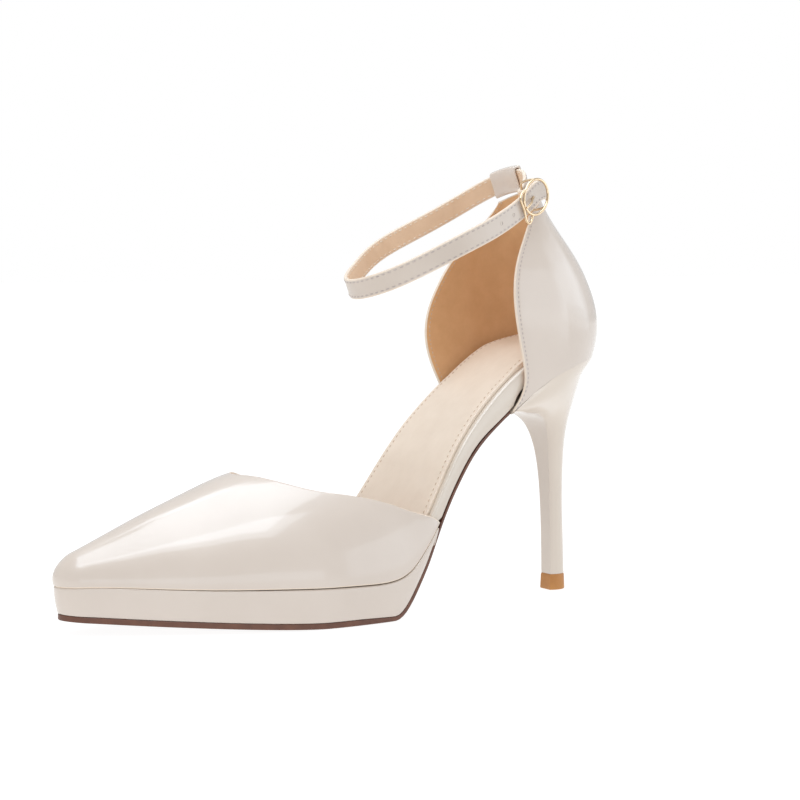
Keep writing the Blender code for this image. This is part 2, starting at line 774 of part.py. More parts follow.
def tube(name, skin, line, radius, closed=False, size=8):
    """Round wire along a line of points."""
    line = np.asarray(line, float)
    count = len(line)
    rings = []
    for i in range(count):
        if closed:
            ahead = line[(i + 1) % count] - line[i - 1]
        else:
            ahead = line[min(i + 1, count - 1)] - line[max(i - 1, 0)]
        ahead = ahead / np.linalg.norm(ahead)
        side = np.cross(ahead, BUCKLE_OUT)
        if np.linalg.norm(side) < 0.3:
            side = np.cross(ahead, BUCKLE_ALONG)
        side = side / np.linalg.norm(side)
        other = np.cross(side, ahead)
        ring = []
        for k in range(size):
            turn = 2.0 * math.pi * k / size
            ring.append(tuple(line[i] + radius * (side * math.cos(turn) + other * math.sin(turn))))
        rings.append(ring)
    return loft(name, rings, skin, closed)


def combine(piece, tool, operation):
    """Boolean of a piece with a tool, which is kept out of sight."""
    tool.hide_render = True
    tool.display_type = "WIRE"
    change = piece.modifiers.new(tool.name, "BOOLEAN")
    change.operation = operation
    change.object = tool


def make_buckle(strap):
    """Oval ring with a bar behind the strap, a bar across its front, and a prong that rests on the ring."""
    skin = material("buckle_gold", (0.83, 0.66, 0.42), 0.2, 1.0)
    half = 0.5 * RING_HEIGHT
    reach = 0.5 * RING_LENGTH
    turns = [2.0 * math.pi * k / 28 for k in range(28)]
    oval = [ring_place(reach * math.cos(a), half * math.sin(a)) for a in turns]
    ring = tube("buckle_frame", skin, oval, WIRE, closed=True)
    behind = RING_AHEAD / math.cos(RING_TURN)
    side = half * math.sqrt(1.0 - (behind / reach) ** 2)
    bend = 1.2
    path = ((side, bend - BAR_DEPTH), (side - 0.3 * bend, 0.3 * bend - BAR_DEPTH), (side - bend, -BAR_DEPTH))
    upper = [buckle_place(0.0, RING_UP + across, out) for across, out in path]
    lower = [buckle_place(0.0, RING_UP - across, out) for across, out in reversed(path)]
    bar_line = [ring_place(behind, side)] + upper + lower + [ring_place(behind, -side)]
    bar = tube("buckle_bar", skin, bar_line, BAR_WIRE)
    combine(ring, bar, "UNION")
    root = (-0.6 * reach, half * math.sqrt(1.0 - 0.6 ** 2))
    corner = (FRONT_BAR_HALF + 0.5, FRONT_BAR_HALF)
    spots = [root, (-0.93 * FRONT_BAR_REACH, corner[0] - FRONT_BAR_DROP)]
    spots += [(-FRONT_BAR_REACH, corner[1] - FRONT_BAR_DROP), (-FRONT_BAR_REACH, -corner[1] - FRONT_BAR_DROP)]
    spots += [(-0.93 * FRONT_BAR_REACH, -corner[0] - FRONT_BAR_DROP), (root[0], -root[1])]
    front = tube("buckle_front_bar", skin, [ring_place(*spot) for spot in spots], BAR_WIRE)
    combine(ring, front, "UNION")
    rest = RING_RISE + WIRE + GAP + PRONG_WIRE
    edge = RING_AHEAD + reach * math.cos(RING_TURN)
    prong_path = ((0.0, -BAR_DEPTH + BAR_WIRE + GAP), (0.0, 0.8), (-0.2 * edge, 0.55 * rest),
                  (-0.5 * edge, 0.9 * rest), (-0.9 * edge, rest), (-1.1 * edge, rest))
    prong = tube("buckle_prong", skin, [buckle_place(a, 0.0, out) for a, out in prong_path], PRONG_WIRE)
    hole_line = [buckle_place(0.0, 0.0, out) for out in (-BAR_DEPTH + BAR_WIRE + 0.05, 0.0, STRAP_THICK)]
    hole = tube("prong_hole", skin, hole_line, PRONG_WIRE + GAP)
    combine(strap, hole, "DIFFERENCE")
    return [ring, bar, front, prong, hole]


def main():
    for old in list(bpy.data.objects):
        bpy.data.objects.remove(old, do_unlink=True)
    pieces = [make_outsole(), make_platform(), make_board(), make_sock(), make_vamp(), make_counter(),
              make_heel(), make_lift(), make_tunnel()]
    strap = make_strap()
    pieces += [strap] + make_buckle(strap)
    corners = np.array([v.co for piece in pieces for v in piece.data.vertices])
    low = corners.min(axis=0)
    high = corners.max(axis=0)
    shoe = bpy.data.objects.new("shoe", None)
    bpy.context.scene.collection.objects.link(shoe)
    shoe.location = (-0.5 * (low[0] + high[0]), -0.5 * (low[1] + high[1]), -low[2])
    for piece in pieces:
        piece.parent = shoe


main()
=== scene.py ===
"""Looks of the high heel: a left pointed platform pump in cream patent leather, with an ankle strap.

Sizes are in millimetres in the shoe's own frame: X from the toe tip to the back of the heel, Y negative on
the outer side, Z above the floor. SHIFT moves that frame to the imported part's.
"""
import math

import bmesh
import bpy
import numpy as np
from mathutils import Matrix, Vector


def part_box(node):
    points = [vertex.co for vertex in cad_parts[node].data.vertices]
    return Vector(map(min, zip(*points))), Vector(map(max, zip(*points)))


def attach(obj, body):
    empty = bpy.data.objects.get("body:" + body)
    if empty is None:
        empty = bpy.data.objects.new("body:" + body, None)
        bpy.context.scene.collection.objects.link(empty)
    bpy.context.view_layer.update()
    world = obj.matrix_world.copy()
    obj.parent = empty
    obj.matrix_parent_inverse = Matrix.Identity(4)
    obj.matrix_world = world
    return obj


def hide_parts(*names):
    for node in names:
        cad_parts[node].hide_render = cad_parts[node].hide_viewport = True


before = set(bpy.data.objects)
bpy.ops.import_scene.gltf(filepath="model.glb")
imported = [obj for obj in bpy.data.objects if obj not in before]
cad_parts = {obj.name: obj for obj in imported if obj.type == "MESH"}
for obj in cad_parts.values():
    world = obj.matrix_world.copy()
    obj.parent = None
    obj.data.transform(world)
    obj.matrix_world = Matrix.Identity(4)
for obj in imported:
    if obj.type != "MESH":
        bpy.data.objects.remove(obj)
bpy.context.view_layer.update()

MM = 0.001

# Sizes of the last and the bottom
SEAT_X = 188.0
BACK_X = 219.4
TOE_ROUND = 7.0
NOSE_BULGE = 1.3
NOSE_HEIGHT = 13.0
TOE_SPRING = 5.0
SPRING_POWER = 1.25
FLAT_FRONT = 86.0
FLAT_BACK = 114.0
GAP = 0.3
WALL = 1.3
BOARD_THICK = 3.0
BOARD_RISE = 4.3  # extra height of the board's outer edge along the shank
RISE_GROWS = (123.0, 149.0)
RISE_ENDS = (172.0, 198.0)
FILL_GROWS = (135.4, 137.6)  # behind the platform the board reaches down to the outsole
FILL_ENDS = (172.4, 174.0)
SOLE_TUCK = 0.6  # how far the outsole draws in under the counter's corner
TUCK_GROWS = (156.0, 167.0)
SOCK_THICK = 1.0
SOCK_LIFT = 0.05  # between the board and the sock
HEEL_PAD = 1.6
SOLE_THICK = 2.1
THINS_FROM = 100.0
SHANK_SOLE_THICK = 1.0
PLATFORM_LEAN = 1.2
PLATFORM_INSET = 0.1
PLATFORM_LIFT = 0.1  # between the outsole and the platform
PLATFORM_THIN = 0.2  # thickness that is left at the platform's rear end
SHANK_X = 136.0
BREAST_X = 170.5
COUNTER_LAP = 3.8
SOCK_MARGIN = 2.4
SOLE_INSET = 0.2
TOE_TUCK = 0.9  # how far the board draws in at the toe, over TUCK_LENGTH
TUCK_LENGTH = 40.0

LAST_COLUMNS = ("x", "outer", "inner", "seam", "tilt")
LAST = (
    (0.0, -3.4, 10.6, 17.0, 0.00),
    (8.0, -6.6, 12.4, 17.2, 0.00),
    (18.0, -11.6, 16.6, 17.0, 0.00),
    (32.0, -18.6, 22.0, 16.3, 0.00),
    (50.0, -26.6, 28.0, 15.5, 0.00),
    (68.0, -33.2, 33.0, 15.1, 0.00),
    (85.0, -36.8, 35.4, 14.7, 0.00),
    (100.0, -36.8, 34.2, 14.4, 0.00),
    (110.0, -35.8, 32.0, 14.4, 0.00),
    (116.0, -34.9, 30.6, 15.2, 0.00),
    (122.0, -33.7, 29.2, 18.6, 0.02),
    (128.0, -32.4, 28.0, 25.5, 0.05),
    (136.0, -30.6, 26.6, 36.6, 0.07),
    (144.0, -28.8, 25.6, 48.2, 0.07),
    (152.0, -27.2, 24.8, 58.8, 0.07),
    (160.0, -26.2, 24.4, 67.6, 0.06),
    (168.0, -25.6, 24.3, 75.0, 0.05),
    (176.0, -25.5, 24.6, 81.2, 0.03),
    (188.0, -25.6, 24.8, 88.6, 0.01),
    (200.0, -25.6, 24.8, 92.8, 0.00),
    (212.0, -25.6, 24.8, 95.4, 0.00),
    (220.0, -25.6, 24.8, 96.6, 0.00),
)
SOLE_COLUMNS = ("x", "drop")
SOLE = (
    (114.0, 14.85),
    (117.0, 15.05),
    (120.0, 14.3),
    (124.0, 12.45),
    (128.0, 10.6),
    (132.0, 8.6),
    (136.0, 5.6),
    (141.0, 3.3),
    (147.0, 2.4),
    (155.0, 2.1),
    (160.0, 2.9),
    (164.0, 3.8),
    (168.0, 4.4),
    (172.0, 4.6),
)
VAMP_COLUMNS = ("x", "ridge_y", "ridge_z", "fullness")
VAMP = (
    (0.0, 3.6, 25.0, 2.0),
    (8.0, 3.0, 28.7, 2.0),
    (18.0, 2.8, 33.1, 1.95),
    (32.0, 2.6, 39.2, 1.95),
    (50.0, 2.6, 46.3, 1.95),
    (68.0, 2.6, 52.5, 2.0),
    (85.0, 2.4, 55.6, 2.0),
    (100.0, 2.0, 58.6, 2.0),
    (116.0, 1.6, 62.4, 2.0),
    (138.0, 1.0, 71.0, 2.0),
)
THROAT_X = 68.0
INNER_TIP_X = 132.0
THROAT_COLUMNS = ("degrees", "share")
THROAT = (
    (0.0, 1.000),
    (10.0, 0.953),
    (20.0, 0.879),
    (30.0, 0.771),
    (40.0, 0.594),
    (50.0, 0.350),
    (60.0, 0.197),
    (75.0, 0.065),
    (90.0, 0.000),
    (105.0, 0.065),
)
COUNTER_COLUMNS = ("z", "back", "widest", "outer", "inner", "front_outer", "front_inner")
COUNTER = (
    (70.0, 210.3, 188.0, 25.7, 24.9, 168.4, 172.6),
    (76.0, 213.7, 188.0, 26.1, 25.3, 172.6, 170.8),
    (82.0, 216.5, 188.0, 26.5, 25.7, 175.0, 168.0),
    (90.0, 218.9, 188.0, 27.1, 26.3, 174.4, 164.6),
    (100.0, 221.5, 188.0, 27.7, 26.9, 172.0, 162.8),
    (110.0, 220.7, 187.0, 28.1, 27.3, 170.0, 164.8),
    (120.0, 216.7, 185.6, 27.5, 26.7, 169.8, 169.4),
    (130.0, 210.5, 183.6, 25.9, 25.1, 172.4, 175.8),
    (140.0, 202.7, 181.4, 22.7, 22.3, 178.0, 184.4),
    (150.0, 197.1, 179.6, 17.7, 18.3, 184.6, 189.8),
    (160.0, 194.3, 178.6, 14.3, 15.3, 190.0, 191.0),
)
COUNTER_FRONT_REACH = 100.0
COUNTER_GUESS = (85.0, 152.0)
HEEL_COLUMNS = ("front_x", "front_z", "back_x", "back_z", "half_width")
HEEL = (
    (174.4, 71.8, 215.8, 88.4, 23.5),
    (180.6, 71.2, 214.0, 84.0, 20.9),
    (187.6, 70.6, 212.8, 79.0, 17.4),
    (193.4, 69.2, 211.8, 73.4, 13.6),
    (197.4, 65.6, 210.9, 67.0, 9.8),
    (200.0, 58.6, 210.2, 59.2, 6.8),
    (201.6, 48.0, 209.9, 48.4, 4.9),
    (202.5, 34.0, 210.0, 34.2, 4.0),
    (203.0, 18.0, 210.6, 18.1, 3.75),
    (203.2, 6.2, 211.0, 6.2, 3.75),
)
HEEL_FLAT = math.radians(125.0)
LIFT_TOP = 5.9
LIFT_FLARE = 0.35
LIFT_LEVELS = (  # height, and distance out from the flare
    (0.0, -0.25),
    (0.12, -0.08),
    (0.35, 0.0),
    (LIFT_TOP - 0.4, -0.2),
    (LIFT_TOP - 0.15, -0.28),
    (LIFT_TOP + 0.25, -0.45),
)
STRAP_COLUMNS = ("x", "height", "roll")
STRAP_LINE = (
    (112.0, 116.8, -0.05),
    (130.0, 127.0, -0.04),
    (145.0, 134.8, -0.03),
    (157.0, 140.2, -0.02),
    (170.0, 146.4, -0.01),
    (180.0, 152.0, 0.00),
    (190.0, 158.8, 0.00),
    (200.0, 166.0, 0.00),
)
STRAP_WIDTH = 7.8
STRAP_THICK = 1.3
STRAP_TILT = math.radians(20.0)
STRAP_FLAT = 0.86  # share of the width between the rounded edges
STRAP_CROWN = 0.05
ROUTE_COLUMNS = ("x", "y")
ROUTE = (
    (187.0, -9.8),
    (190.4, -3.6),
    (191.6, 3.0),
    (190.4, 10.0),
    (186.2, 16.6),
    (178.4, 21.4),
    (167.0, 24.0),
    (153.0, 25.0),
    (140.0, 23.2),
    (129.2, 16.2),
    (118.6, 6.4),
    (114.4, -4.2),
    (116.0, -15.4),
    (122.4, -25.6),
    (132.6, -31.6),
    (143.0, -34.2),
    (154.0, -33.6),
    (165.0, -30.2),
    (173.0, -26.8),
    (180.4, -22.8),
    (187.0, -18.7),
    (192.2, -14.6),
)
BUCKLE_ROW = 19
TAIL_SAG = 1.50
TAIL_ROUND = 2.0
RING_LENGTH = 13.4
RING_HEIGHT = 12.2
RING_TURN = math.radians(16.0)
RING_AHEAD = 2.7
RING_UP = 0.8
WIRE = 0.5
BAR_WIRE = 0.45
PRONG_WIRE = 0.42
FRONT_BAR_REACH = 8.2
FRONT_BAR_HALF = 4.8
FRONT_BAR_DROP = 1.2
TUNNEL_FROM = 1.8
TUNNEL_TO = 3.7
TUNNEL_WALL = 0.9
TUNNEL_DROP = 7.6
TUNNEL_ROLL = 0.08  # rows of the route over which each end of the tunnel is rolled in
FLAP = 6.5  # end of the strap that is folded back behind the bar
WALL_SHARE = 0.996  # what the rounded edges leave of the width of a wall
TOP_SHARE = 0.997  # and of the counter's height
TOE_CROWDING = 1.6  # how much closer the vamp's sections lie towards the toe

# Sewing
STRAP_STITCH = (2.5, 1.5, 0.42, 0.24)  # pitch, length, width and height
COUNTER_STITCH = (1.7, 1.0, 0.4, 0.22)
SOCK_STITCH = (2.3, 1.2, 0.45, 0.25)
STRAP_STITCH_INSET = 1.15
COUNTER_STITCH_INSET = 1.5
SOCK_STITCH_INSET = 2.2
SOCK_STITCH_SPAN = (60.0, 200.0)
THREAD_LEVEL = 0.52  # share of the strap's thickness; its surface is at a half
HOLE_LEVEL = 0.53
TAIL_UNSEWN = 9  # sections of the strap's end without stitches
HOLE_STEPS = (-3, -2, -1)  # holes ahead of the buckle
HOLE_SPACING = 8.0
HOLE_RADIUS = 0.55
# Share of the radius and rise of each ring; the two inner bands are painted shade for the hole's depth
HOLE_RINGS = ((1.5, 0.02), (1.2, 0.10), (1.0, 0.06), (0.85, -0.15), (0.0, -0.2))

# Camera of the photograph
CAMERA_AZIMUTH = math.radians(-30.691)
CAMERA_HEIGHT = math.radians(4.13)
CAMERA_DISTANCE = 789.779
CAMERA_TARGET = (120.0, -28.263, 79.019)
CAMERA_FOCUS = 2199.22 / 800.0  # focal length over the width of the image


def shoe_shift():
    """Offset from the shoe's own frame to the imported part's, read off the top lift, in millimetres."""
    low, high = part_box("top_lift")
    front = HEEL[-1][0] - LIFT_FLARE
    return np.array((low.x / MM - front, 0.5 * (low.y + high.y) / MM, low.z / MM))


SHIFT = shoe_shift()


def spline(xs, ys):
    """Cubic spline through the points, natural at its ends; each value may be a number or an array."""
    xs = np.asarray(xs, float)
    ys = np.asarray(ys, float)
    shape = ys.shape[1:]
    flat = ys.reshape(len(xs), -1)
    step = np.diff(xs)
    rise = np.diff(flat, axis=0) / step[:, None]
    matrix = np.eye(len(xs))
    right = np.zeros_like(flat)
    for i in range(1, len(xs) - 1):
        matrix[i, i - 1:i + 2] = step[i - 1], 2.0 * (step[i - 1] + step[i]), step[i]
        right[i] = 6.0 * (rise[i] - rise[i - 1])
    bend = np.linalg.solve(matrix, right)

    def at(x):
        x = np.clip(np.asarray(x, float), xs[0], xs[-1])
        k = np.clip(np.searchsorted(xs, x, side="right") - 1, 0, len(xs) - 2)
        a = ((xs[k + 1] - x) / step[k])[..., None]
        b = 1.0 - a
        curve = (a ** 3 - a) * bend[k] + (b ** 3 - b) * bend[k + 1]
        value = a * flat[k] + b * flat[k + 1] + curve * (step[k] ** 2)[..., None] / 6.0
        return value.reshape(x.shape + shape)

    return at


def columns(table, names):
    """One spline for each column after the first, by name."""
    rows = np.asarray(table, float)
    return {name: spline(rows[:, 0], rows[:, i]) for i, name in enumerate(names) if i > 0}


last = columns(LAST, LAST_COLUMNS)
sole_drop = columns(SOLE, SOLE_COLUMNS)["drop"]
vamp_last = columns(VAMP, VAMP_COLUMNS)
throat_share = columns(THROAT, THROAT_COLUMNS)["share"]
counter_last = columns(COUNTER, COUNTER_COLUMNS)
strap_last = columns(STRAP_LINE, STRAP_COLUMNS)
route_line = columns([(i, *row) for i, row in enumerate(ROUTE)], ("row", *ROUTE_COLUMNS))


def end_round(x, inset=0.0):
    """Share of the full width that is left by the rounding of the toe tip and of the heel seat."""
    toe = np.clip((x - inset) / TOE_ROUND, 0.0, 1.0)
    seat = np.clip((x - SEAT_X) / (BACK_X - inset - SEAT_X), 0.0, 1.0)
    return np.sqrt(1.0 - (1.0 - toe) ** 2) * np.sqrt(np.maximum(1.0 - seat ** 2, 0.0))


def edge(x, side, inset=0.0):
    """Y of the outline at x, moved in by inset."""
    middle = 0.5 * (last["outer"](x) + last["inner"](x))
    half = 0.5 * (last["inner"](x) - last["outer"](x)) - inset
    reach = np.maximum(half, 0.2) * end_round(x, inset)
    return middle - reach if side == "outer" else middle + reach


def slope_stretch(curve, x):
    """Vertical thickness of a layer that is one unit thick across the slope."""
    return np.sqrt(1.0 + (curve(x + 0.5) - curve(x - 0.5)) ** 2)


def seam_at(x, y):
    """Height of the lower edge of the upper."""
    return last["seam"](x) + last["tilt"](x) * y


def sole_under(x, y=0.0):
    """Underside of the outsole."""
    spring = TOE_SPRING * np.clip((FLAT_FRONT - x) / FLAT_FRONT, 0.0, 1.0) ** SPRING_POWER
    sweep = np.maximum(seam_at(x, y) - sole_drop(x), 0.0)
    return np.where(x < FLAT_BACK, spring, sweep)


def sole_over(x, y=0.0):
    """Upper side of the outsole, which thins towards the shank."""
    share = np.clip((x - THINS_FROM) / (SHANK_X - THINS_FROM), 0.0, 1.0)
    thick = SOLE_THICK + (SHANK_SOLE_THICK - SOLE_THICK) * share
    return sole_under(x, y) + thick * slope_stretch(sole_under, x)


def ease(x, start, end):
    """Smooth step from 0 at start to 1 at end."""
    share = np.clip((x - start) / (end - start), 0.0, 1.0)
    return share * share * (3.0 - 2.0 * share)


def board_over(x, y):
    """Upper side of the insole board, raised along the outer side of the shank to lay the sock level."""
    outer, inner = last["outer"](x), last["inner"](x)
    rise = BOARD_RISE * ease(x, *RISE_GROWS) * (1.0 - ease(x, *RISE_ENDS))
    across = np.clip((inner - y) / (inner - outer), 0.0, 1.0)
    return seam_at(x, y) + BOARD_THICK * slope_stretch(last["seam"], x) + rise * across


def board_under(x, y):
    """Underside of the board: the seam, and along the shank the outsole."""
    fill = ease(x, *FILL_GROWS) * (1.0 - ease(x, *FILL_ENDS))
    seam = seam_at(x, y)
    room = np.maximum(seam - sole_over(x, y) - GAP * slope_stretch(sole_under, x), 0.0)
    return seam - fill * room


def sole_margin(x):
    """Distance of the outsole's edge from the outline, larger where the counter laps over it."""
    return PLATFORM_LEAN + SOLE_INSET + SOLE_TUCK * ease(x, *TUCK_GROWS)


def toe_margin(x):
    """Distance of the board's edge from the outline."""
    return WALL + GAP + TOE_TUCK * np.clip(1.0 - x / TUCK_LENGTH, 0.0, 1.0)


def sock_margin(x):
    """Distance of the sock's edge from the outline."""
    return toe_margin(x) + SOCK_MARGIN


# Materials

def shader_of(name):
    """New node material and its shader."""
    made = bpy.data.materials.new(name)
    made.use_nodes = True
    return made, made.node_tree, made.node_tree.nodes["Principled BSDF"]


def put(node, values):
    """Set a node's inputs by name."""
    for name, value in values.items():
        node.inputs[name].default_value = value


def noise(tree, scale, detail=3.0, roughness=0.5):
    """Noise over the object's own coordinates, in metres."""
    place = tree.nodes.new("ShaderNodeTexCoord")
    made = tree.nodes.new("ShaderNodeTexNoise")
    put(made, {"Scale": scale, "Detail": detail, "Roughness": roughness})
    tree.links.new(place.outputs["Object"], made.inputs["Vector"])
    return made.outputs["Fac"]


MOTTLE_RANGE = (0.3, 0.7)


def surface(name, dark, light, mottle, roughness, wear, height, grain, coat=False):
    """Material and shader whose colour, roughness and bump wander, each with a noise of its own.

    mottle, wear and grain say what those noises are; height is the bump's, in millimetres.
    """
    made, tree, shader = shader_of(name)
    link = tree.links.new
    ramp = tree.nodes.new("ShaderNodeValToRGB")
    for stop, place, colour in zip(ramp.color_ramp.elements, MOTTLE_RANGE, (dark, light)):
        stop.position = place
        stop.color = (*colour, 1.0)
    link(noise(tree, *mottle), ramp.inputs["Fac"])
    link(ramp.outputs["Color"], shader.inputs["Base Color"])
    span = tree.nodes.new("ShaderNodeMapRange")
    put(span, {"To Min": roughness[0], "To Max": roughness[1]})
    link(noise(tree, *wear), span.inputs["Value"])
    link(span.outputs["Result"], shader.inputs["Roughness"])
    bump = tree.nodes.new("ShaderNodeBump")
    put(bump, {"Strength": 1.0, "Distance": height * MM})
    link(noise(tree, *grain), bump.inputs["Height"])
    link(bump.outputs["Normal"], shader.inputs["Normal"])
    if coat:
        link(bump.outputs["Normal"], shader.inputs["Coat Normal"])
    return made, shader


def patent(name, dark, light, ripple=0.012, lacquer=1.0):
    """Patent leather: cream body under a clear lacquer with a faint ripple."""
    made, shader = surface(name, dark, light, (45.0, 4.0), (0.30, 0.42), (900.0,), ripple, (260.0, 2.0), True)
    put(shader, {"Specular IOR Level": 0.4, "Coat Weight": lacquer, "Coat Roughness": 0.09, "Coat IOR": 1.5})
    return made


def leather(name, dark, light, rough, grain=0.03, scale=1500.0):
    """Plain leather with a fine grain."""
    made, shader = surface(name, dark, light, (90.0, 6.0, 0.65), (rough - 0.06, rough + 0.06), (600.0,),
                           grain, (scale, 4.0, 0.6))
    put(shader, {"Specular IOR Level": 0.3, "Sheen Weight": 0.08})
    return made


def moulded(name, dark, light, rough):
    """Moulded rubber or plastic with a slight mottle."""
    made, _ = surface(name, dark, light, (220.0, 5.0, 0.6), (rough - 0.07, rough + 0.07), (500.0,), 0.02,
                      (900.0, 4.0))
    return made


def metal(name, dark, light, low, high):
    """Plated metal with faint handling marks."""
    made, shader = surface(name, dark, light, (400.0, 4.0), (low, high), (1800.0, 5.0, 0.7), 0.004, (2500.0,))
    put(shader, {"Metallic": 1.0})
    return made


CREAM = patent("cream_patent", (0.682, 0.600, 0.532), (0.717, 0.636, 0.568))
HEEL_CREAM = patent("heel_patent", (0.705, 0.618, 0.530), (0.740, 0.654, 0.566), 0.008)
STRAP_CREAM = patent("strap_patent", (0.620, 0.540, 0.470), (0.670, 0.590, 0.520), 0.02, 0.3)
RAND = patent("rand_patent", (0.690, 0.615, 0.530), (0.730, 0.655, 0.570), 0.015)
LINING = leather("tan_lining", (0.650, 0.380, 0.190), (0.740, 0.455, 0.240), 0.55)
STRAP_LINING = leather("strap_lining", (0.740, 0.530, 0.360), (0.840, 0.630, 0.450), 0.55)
SOCK = leather("sock_leather", (0.800, 0.685, 0.570), (0.860, 0.750, 0.635), 0.5, 0.02)
RAW_EDGE = leather("raw_edge", (0.800, 0.680, 0.560), (0.860, 0.760, 0.650), 0.6, 0.04, 2500.0)
# Stitch thread: partly its own colour, partly painted shade of the needle dimples it sits in, hence darker
# and greyer
THREAD_WITH_DIMPLE_SHADE = leather("thread_with_painted_dimple_shade", (0.455, 0.395, 0.375), (0.555, 0.490, 0.465), 0.7, 0.03, 4000.0)
SOCK_THREAD = leather("sock_thread", (0.580, 0.430, 0.320), (0.660, 0.510, 0.390), 0.7, 0.03, 4000.0)
BROWN = moulded("outsole_brown", (0.110, 0.040, 0.022), (0.170, 0.066, 0.036), 0.38)
TAN_LIFT = moulded("lift_tan", (0.480, 0.200, 0.045), (0.560, 0.250, 0.065), 0.45)
GOLD = metal("pale_gold", (0.66, 0.49, 0.31), (0.76, 0.59, 0.40), 0.08, 0.16)
# Painted shade: near-black colour for the middle of each shallow hole, standing in for the shade inside a
# deep one
HOLE_PAINTED_SHADE = leather("hole_painted_shade", (0.10, 0.065, 0.045), (0.14, 0.09, 0.06), 0.8)


# Mesh making

MERGE_DISTANCE = 2e-7
LEAST_EDGE = 1e-8


def piece(name, points, faces, skins, slot, stands_for=(), face_skins=None, sharp=40.0, closed=True):
    """Smooth mesh from points in millimetres, riding on the shoe's one body.

    face_skins gives the place in skins of each face's material; without it all faces have the first.
    """
    mesh = bpy.data.meshes.new(name)
    world = (np.asarray(points, float) + SHIFT) * MM
    mesh.from_pydata([tuple(p) for p in world], [], faces)
    for skin in skins:
        mesh.materials.append(skin)
    if face_skins is not None:
        mesh.polygons.foreach_set("material_index", list(face_skins))
    work = bmesh.new()
    work.from_mesh(mesh)
    bmesh.ops.remove_doubles(work, verts=work.verts, dist=MERGE_DISTANCE)
    bmesh.ops.dissolve_degenerate(work, edges=work.edges, dist=LEAST_EDGE)
    if closed:
        bmesh.ops.recalc_face_normals(work, faces=work.faces)
    work.to_mesh(mesh)
    work.free()
    mesh.shade_smooth()
    mesh.set_sharp_from_angle(angle=math.radians(sharp))
    made = bpy.data.objects.new(name, mesh)
    bpy.context.scene.collection.objects.link(made)
    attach(made, "root")
    if stands_for:
        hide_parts(*stands_for)


def unit(vectors):
    """Vectors of length one."""
    length = np.linalg.norm(vectors, axis=-1, keepdims=True)
    return vectors / np.maximum(length, 1e-9)


def grid_normals(grid):
    """Unit normals of a grid of points."""
    return unit(np.cross(np.gradient(grid, axis=1), np.gradient(grid, axis=0)))


RIM_STEPS = 7
RIM_SWELL = 0.7  # height of a rim over half its width


def rimmed_shell(outside, inside, round_rows):
    """Points, faces and skins of a hollow wall with a half-round rim.

    Skins: 0 outside, 1 inside, 2 rim. round_rows says which of the borders first row, last column, last row
    and first column have a rounded rim; the others are flat.
    """
    rows, across = outside.shape[:2]
    points = [tuple(p) for p in outside.reshape(-1, 3)] + [tuple(p) for p in inside.reshape(-1, 3)]
    shift = rows * across
    faces = []
    skins = []
    for i in range(rows - 1):
        for j in range(across - 1):
            a = i * across + j
            quad = (a, a + 1, a + across + 1, a + across)
            faces.append(quad)
            skins.append(0)
            faces.append(tuple(shift + k for k in reversed(quad)))
            skins.append(1)
    border = [(0, j) for j in range(across - 1)]
    border += [(i, across - 1) for i in range(rows - 1)]
    border += [(rows - 1, j) for j in range(across - 1, 0, -1)]
    border += [(i, 0) for i in range(rows - 1, 0, -1)]
    loops = []
    for i, j in border:
        out = outside[i, j]
        inn = inside[i, j]
        middle = 0.5 * (out + inn)
        half = 0.5 * (out - inn)
        on_border = (i == 0, j == across - 1, i == rows - 1, j == 0)
        inwards = ((1, j), (i, -2), (-2, j), (i, 1))
        away = unit(sum(unit(out - outside[spot]) for spot, on in zip(inwards, on_border) if on))
        flat = any(on and not is_round for on, is_round in zip(on_border, round_rows))
        swell = 0.0 if flat else RIM_SWELL * np.linalg.norm(half)
        ring = [i * across + j]
        for k in range(1, RIM_STEPS):
            turn = math.pi * k / RIM_STEPS
            ring.append(len(points))
            points.append(tuple(middle + half * math.cos(turn) + away * swell * math.sin(turn)))
        ring.append(shift + i * across + j)
        loops.append(ring)
    for a, b in zip(loops, loops[1:] + loops[:1]):
        for k in range(RIM_STEPS):
            faces.append((a[k], b[k], b[k + 1], a[k + 1]))
            skins.append(2)
    return points, faces, skins


def circle(middle, side, up, count):
    """Points round a middle, on the circle or ellipse with two given radii."""
    turns = 2.0 * math.pi * np.arange(count) / count
    return middle + np.outer(np.cos(turns), side) + np.outer(np.sin(turns), up)


def strips(count, size, base=0):
    """Faces between closed rings that follow each other from the point base."""
    faces = []
    for low in range(base, base + (count - 1) * size, size):
        for j in range(size):
            k = (j + 1) % size
            faces.append((low + j, low + k, low + size + k, low + size + j))
    return faces


def loft(rings, caps=True):
    """Points and faces through closed rings of equal length."""
    rings = np.asarray(rings, float)
    count, size = rings.shape[:2]
    faces = strips(count, size)
    if caps:
        faces.append(tuple(range(size)))
        faces.append(tuple(range((count - 1) * size, count * size)))
    return rings.reshape(-1, 3), faces


def plate_places(start, end, close_end, spacing=1.6):
    """Places along the shoe: even round the toe tip, along the sides and round the seat."""
    turn = np.linspace(0.0, 0.5 * math.pi, 22)
    tip = start + TOE_ROUND * (1.0 - np.cos(turn))
    stop = SEAT_X if close_end else end
    middle = np.linspace(tip[-1], stop, max(int((stop - tip[-1]) / spacing), 4))[1:]
    if not close_end:
        return np.concatenate((tip, middle))
    seat = SEAT_X + (end - SEAT_X) * np.sin(turn)
    return np.concatenate((tip, middle, seat[1:]))


BEND_SHARE = 0.4  # most of a layer's thickness that one rounded edge takes


